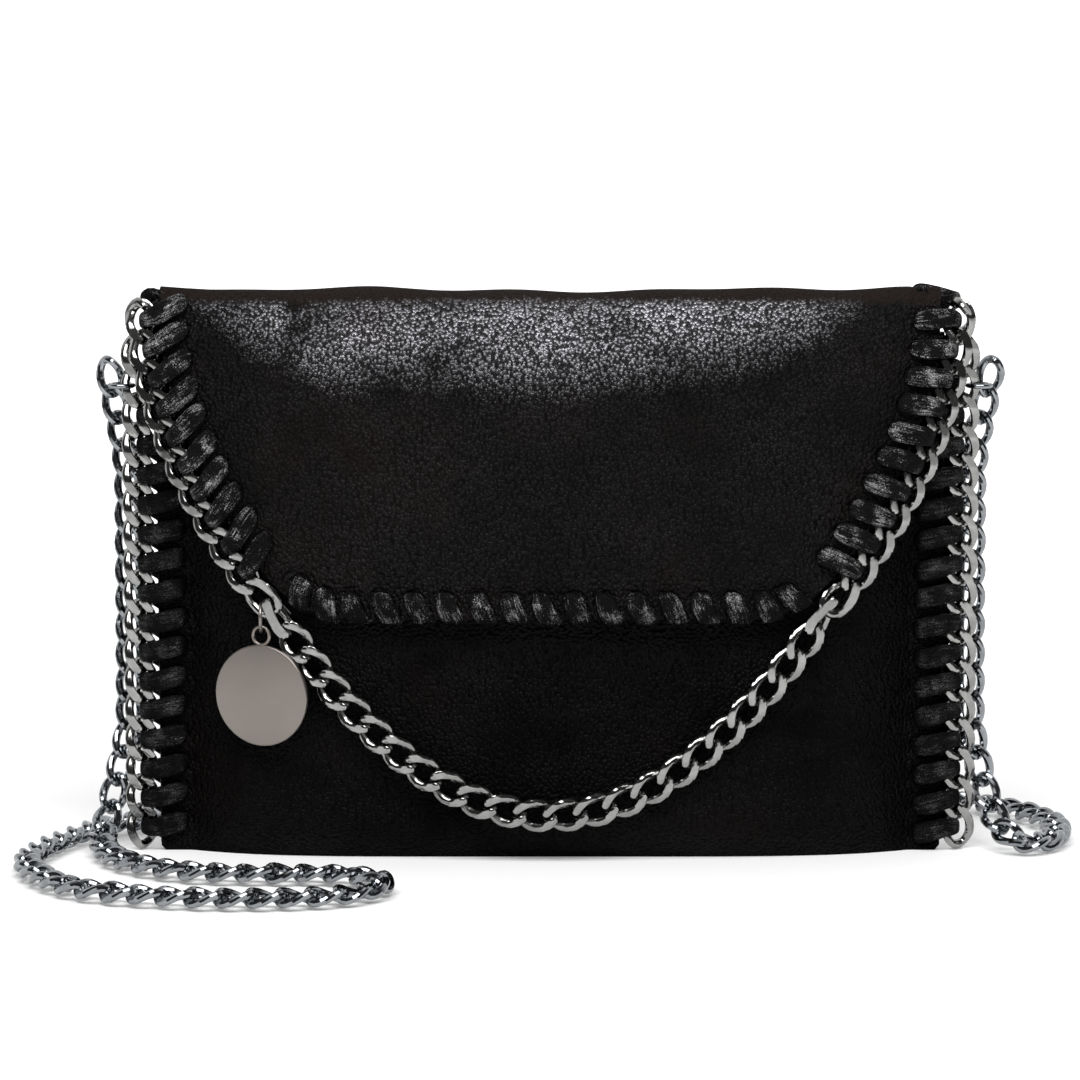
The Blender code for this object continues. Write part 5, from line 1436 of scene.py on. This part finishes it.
def dress(node, material, bevel):    # a CAD node whose shape is right gets its finish, and softer edges
    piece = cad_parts[node]
    piece.data.materials.clear()
    piece.data.materials.append(material)
    weld = piece.modifiers.new("weld", "WELD")
    weld.merge_threshold = 0.00001
    edges = piece.modifiers.new("edges", "BEVEL")
    edges.width = bevel
    edges.segments = 2
    edges.limit_method = "ANGLE"


for node in ("zip_slider", "zip_pull"):
    dress(node, chainMetal, zipSize["metalEdge"])
print("zip made")


# strap

strapSize = {
    "pitch": 0.0086, "wire": 0.0026, "width": 0.0090, "twist": math.radians(43.0), "seat": 0.0003,
    "flat": 0.0030, "flatBack": 0.0033, "squareness": 0.85, "loopSteps": 24, "wireSteps": 10, "jitter": 0.05,
    "seed": 17, "floor": 0.0036, "routeFloor": 0.0038, "lowTop": 0.012, "lowSpan": 0.008,
    "tuckIn": 0.0060, "tuckBack": 0.0026, "hangLow": 0.006, "hangTop": 0.1475, "hangSpan": 0.03,
    "farLeft": 0.1355, "farSpan": 0.02, "frontPull": 1.2, "upPull": 0.001,
}
# the route's listed points, in the frame of the side seams
strapRoute = [
    (-0.1325, 0.0035, 0.1475), (-0.1333, 0.0060, 0.1250), (-0.1336, 0.0078, 0.0900),
    (-0.1338, 0.0080, 0.0550), (-0.1342, 0.0070, 0.0260), (-0.1350, 0.0020, 0.0085),
    (-0.1345, -0.0120, 0.0040), (-0.1270, -0.0330, 0.0038), (-0.1080, -0.0490, 0.0038),
    (-0.0860, -0.0530, 0.0038), (-0.0660, -0.0530, 0.0038), (-0.0520, -0.0590, 0.0038),
    (-0.0490, -0.0710, 0.0038), (-0.0580, -0.0820, 0.0038), (-0.0780, -0.0870, 0.0038),
    (-0.1040, -0.0860, 0.0038), (-0.1300, -0.0770, 0.0038), (-0.1500, -0.0610, 0.0038),
    (-0.1600, -0.0400, 0.0038), (-0.1580, -0.0170, 0.0038), (-0.1480, 0.0040, 0.0038),
    (-0.1330, 0.0220, 0.0038), (-0.1100, 0.0340, 0.0038), (-0.0750, 0.0380, 0.0038),
    (-0.0300, 0.0360, 0.0038), (0.0150, 0.0340, 0.0038), (0.0480, 0.0370, 0.0038),
    (0.0600, 0.0480, 0.0038), (0.0500, 0.0590, 0.0038), (0.0200, 0.0610, 0.0038),
    (-0.0120, 0.0630, 0.0038), (-0.0240, 0.0740, 0.0038), (-0.0120, 0.0850, 0.0038),
    (0.0250, 0.0860, 0.0038), (0.0700, 0.0790, 0.0038), (0.1100, 0.0690, 0.0038),
    (0.1400, 0.0520, 0.0038), (0.1540, 0.0280, 0.0038), (0.1540, 0.0040, 0.0038),
    (0.1450, -0.0100, 0.0040), (0.1365, -0.0060, 0.0065), (0.1342, 0.0040, 0.0200),
    (0.1338, 0.0075, 0.0500), (0.1336, 0.0078, 0.0850), (0.1333, 0.0060, 0.1220),
    (0.1325, 0.0035, 0.1475),
]


def strapPiece():
    size = strapSize
    fine = smoothPath(np.array(strapRoute) + (0.0, seamDepth, 0.0), 24)
    height = fine[:, 2].copy()
    low = unit((size["lowTop"] - height) / size["lowSpan"])
    height -= low * (size["routeFloor"] - size["floor"])
    # where it hangs, the strap lies in against the back of the side chain
    above = unit((height - size["hangLow"]) / size["hangSpan"])
    hang = above * unit((size["hangTop"] - height) / size["hangSpan"])
    farLeft = unit((-fine[:, 0] - size["farLeft"]) / size["farSpan"]) * (1.0 - hang)
    fine[:, 0] -= np.sign(fine[:, 0]) * (hang + farLeft) * size["tuckIn"]
    fine[:, 1] += hang * size["tuckBack"]
    fine[:, 2] = height
    lengths = runningLength(fine)
    total = float(lengths[-1])
    count = round(total / size["pitch"])
    line = pointsAt(np.linspace(0.0, total, count + 1), lengths, fine)
    seats = [Vector(point) for point in line]
    faces = []
    for before, after in zip(seats[:1] + seats, seats[1:] + seats[-1:]):
        steep = abs((after - before).normalized().z)
        face = up * (1.0 - steep + size["upPull"]) + forward * steep * size["frontPull"]
        faces.append(face.normalized())
    mesh = linkMesh("strapChain", seats, faces, size | {"pitch": total / count}, strapMetal)
    piece = place("strapChain", mesh, strapMetal, "bag", "strap_chain")
    print("strap length", round(total, 4), "links", count)


strapPiece()
print("strap made")


# floor, world and light

stageSet = {
    "floorReach": 40.0, "floorColour": grey(0.86), "floorRoughness": 0.7, "floorSpecular": 0.2,
    "glossShare": 0.35,
    # how far from the bag, and how much the floor is lifted towards white there
    "near": (0.18, 0.16), "far": (0.75, 1.0),
    "worldFront": 0.05, "worldBack": 1.0, "worldSlope": 3.0, "worldStart": 0.3,
}


def makeStage():
    corners = [Vector((x, y, 0.0)) * stageSet["floorReach"] for x, y in ((-1, -1), (1, -1), (1, 1), (-1, 1))]
    floor = pointMesh("floor", corners, [(0, 1, 2, 3)])
    piece = addObject("floor", floor)
    material, spot, shader = newMaterial("paleFloor", {
        "Base Color": stageSet["floorColour"], "Roughness": stageSet["floorRoughness"],
        "Specular IOR Level": stageSet["floorSpecular"], "Emission Strength": 1.0})
    path = spot.add("ShaderNodeLightPath", out="Is Camera Ray")
    seen = path + (path.other("Is Glossy Ray") + path.other("Is Transmission Ray")) * stageSet["glossShare"]
    # the floor away from the bag fades into the white behind it
    away = spot.add("ShaderNodeVectorMath", {"operation": "LENGTH"}, {0: spot}, out="Value")
    fade = eased(away, stageSet["near"], stageSet["far"])
    glow = mixed(seen * fade, grey(0.0), grey(1.0))
    material.node_tree.links.new(glow.socket, shader.inputs["Emission Color"])
    floor.materials.append(material)

    world = bpy.data.worlds.new("studio")
    bpy.context.scene.world = world
    world.use_nodes = True
    tree = world.node_tree
    pin = Pin(tree)
    heading = pin.add("ShaderNodeSeparateXYZ", {}, {0: pin.add("ShaderNodeTexCoord", out="Generated")})
    behind = clamped(heading.other("Y") * stageSet["worldSlope"] + stageSet["worldStart"])
    around = behind * (stageSet["worldBack"] - stageSet["worldFront"]) + stageSet["worldFront"]
    seen = pin.add("ShaderNodeLightPath", out="Is Camera Ray")
    strength = seen + (1.0 - seen) * around
    background = tree.nodes["Background"]
    background.inputs["Color"].default_value = grey(1.0)
    tree.links.new(strength.socket, background.inputs["Strength"])


lampSet = {
    # size, place, aim, power in watts
    "softboxAbove": ((1.1, 0.45), (0.0, -0.50, 0.80), (0.0, 0.0, 0.13), 11.0),
}


def makeLamps():
    for name, (size, spot, aim, power) in lampSet.items():
        data = bpy.data.lights.new(name, "AREA")
        data.shape = "RECTANGLE"
        data.size, data.size_y = size
        data.energy = power
        lamp = addObject(name, data)
        lamp.location = spot
        lamp.rotation_euler = (Vector(aim) - Vector(spot)).to_track_quat("-Z", "Y").to_euler()


makeStage()
makeLamps()
bpy.context.scene.view_settings.view_transform = "Standard"
print("stage lit")
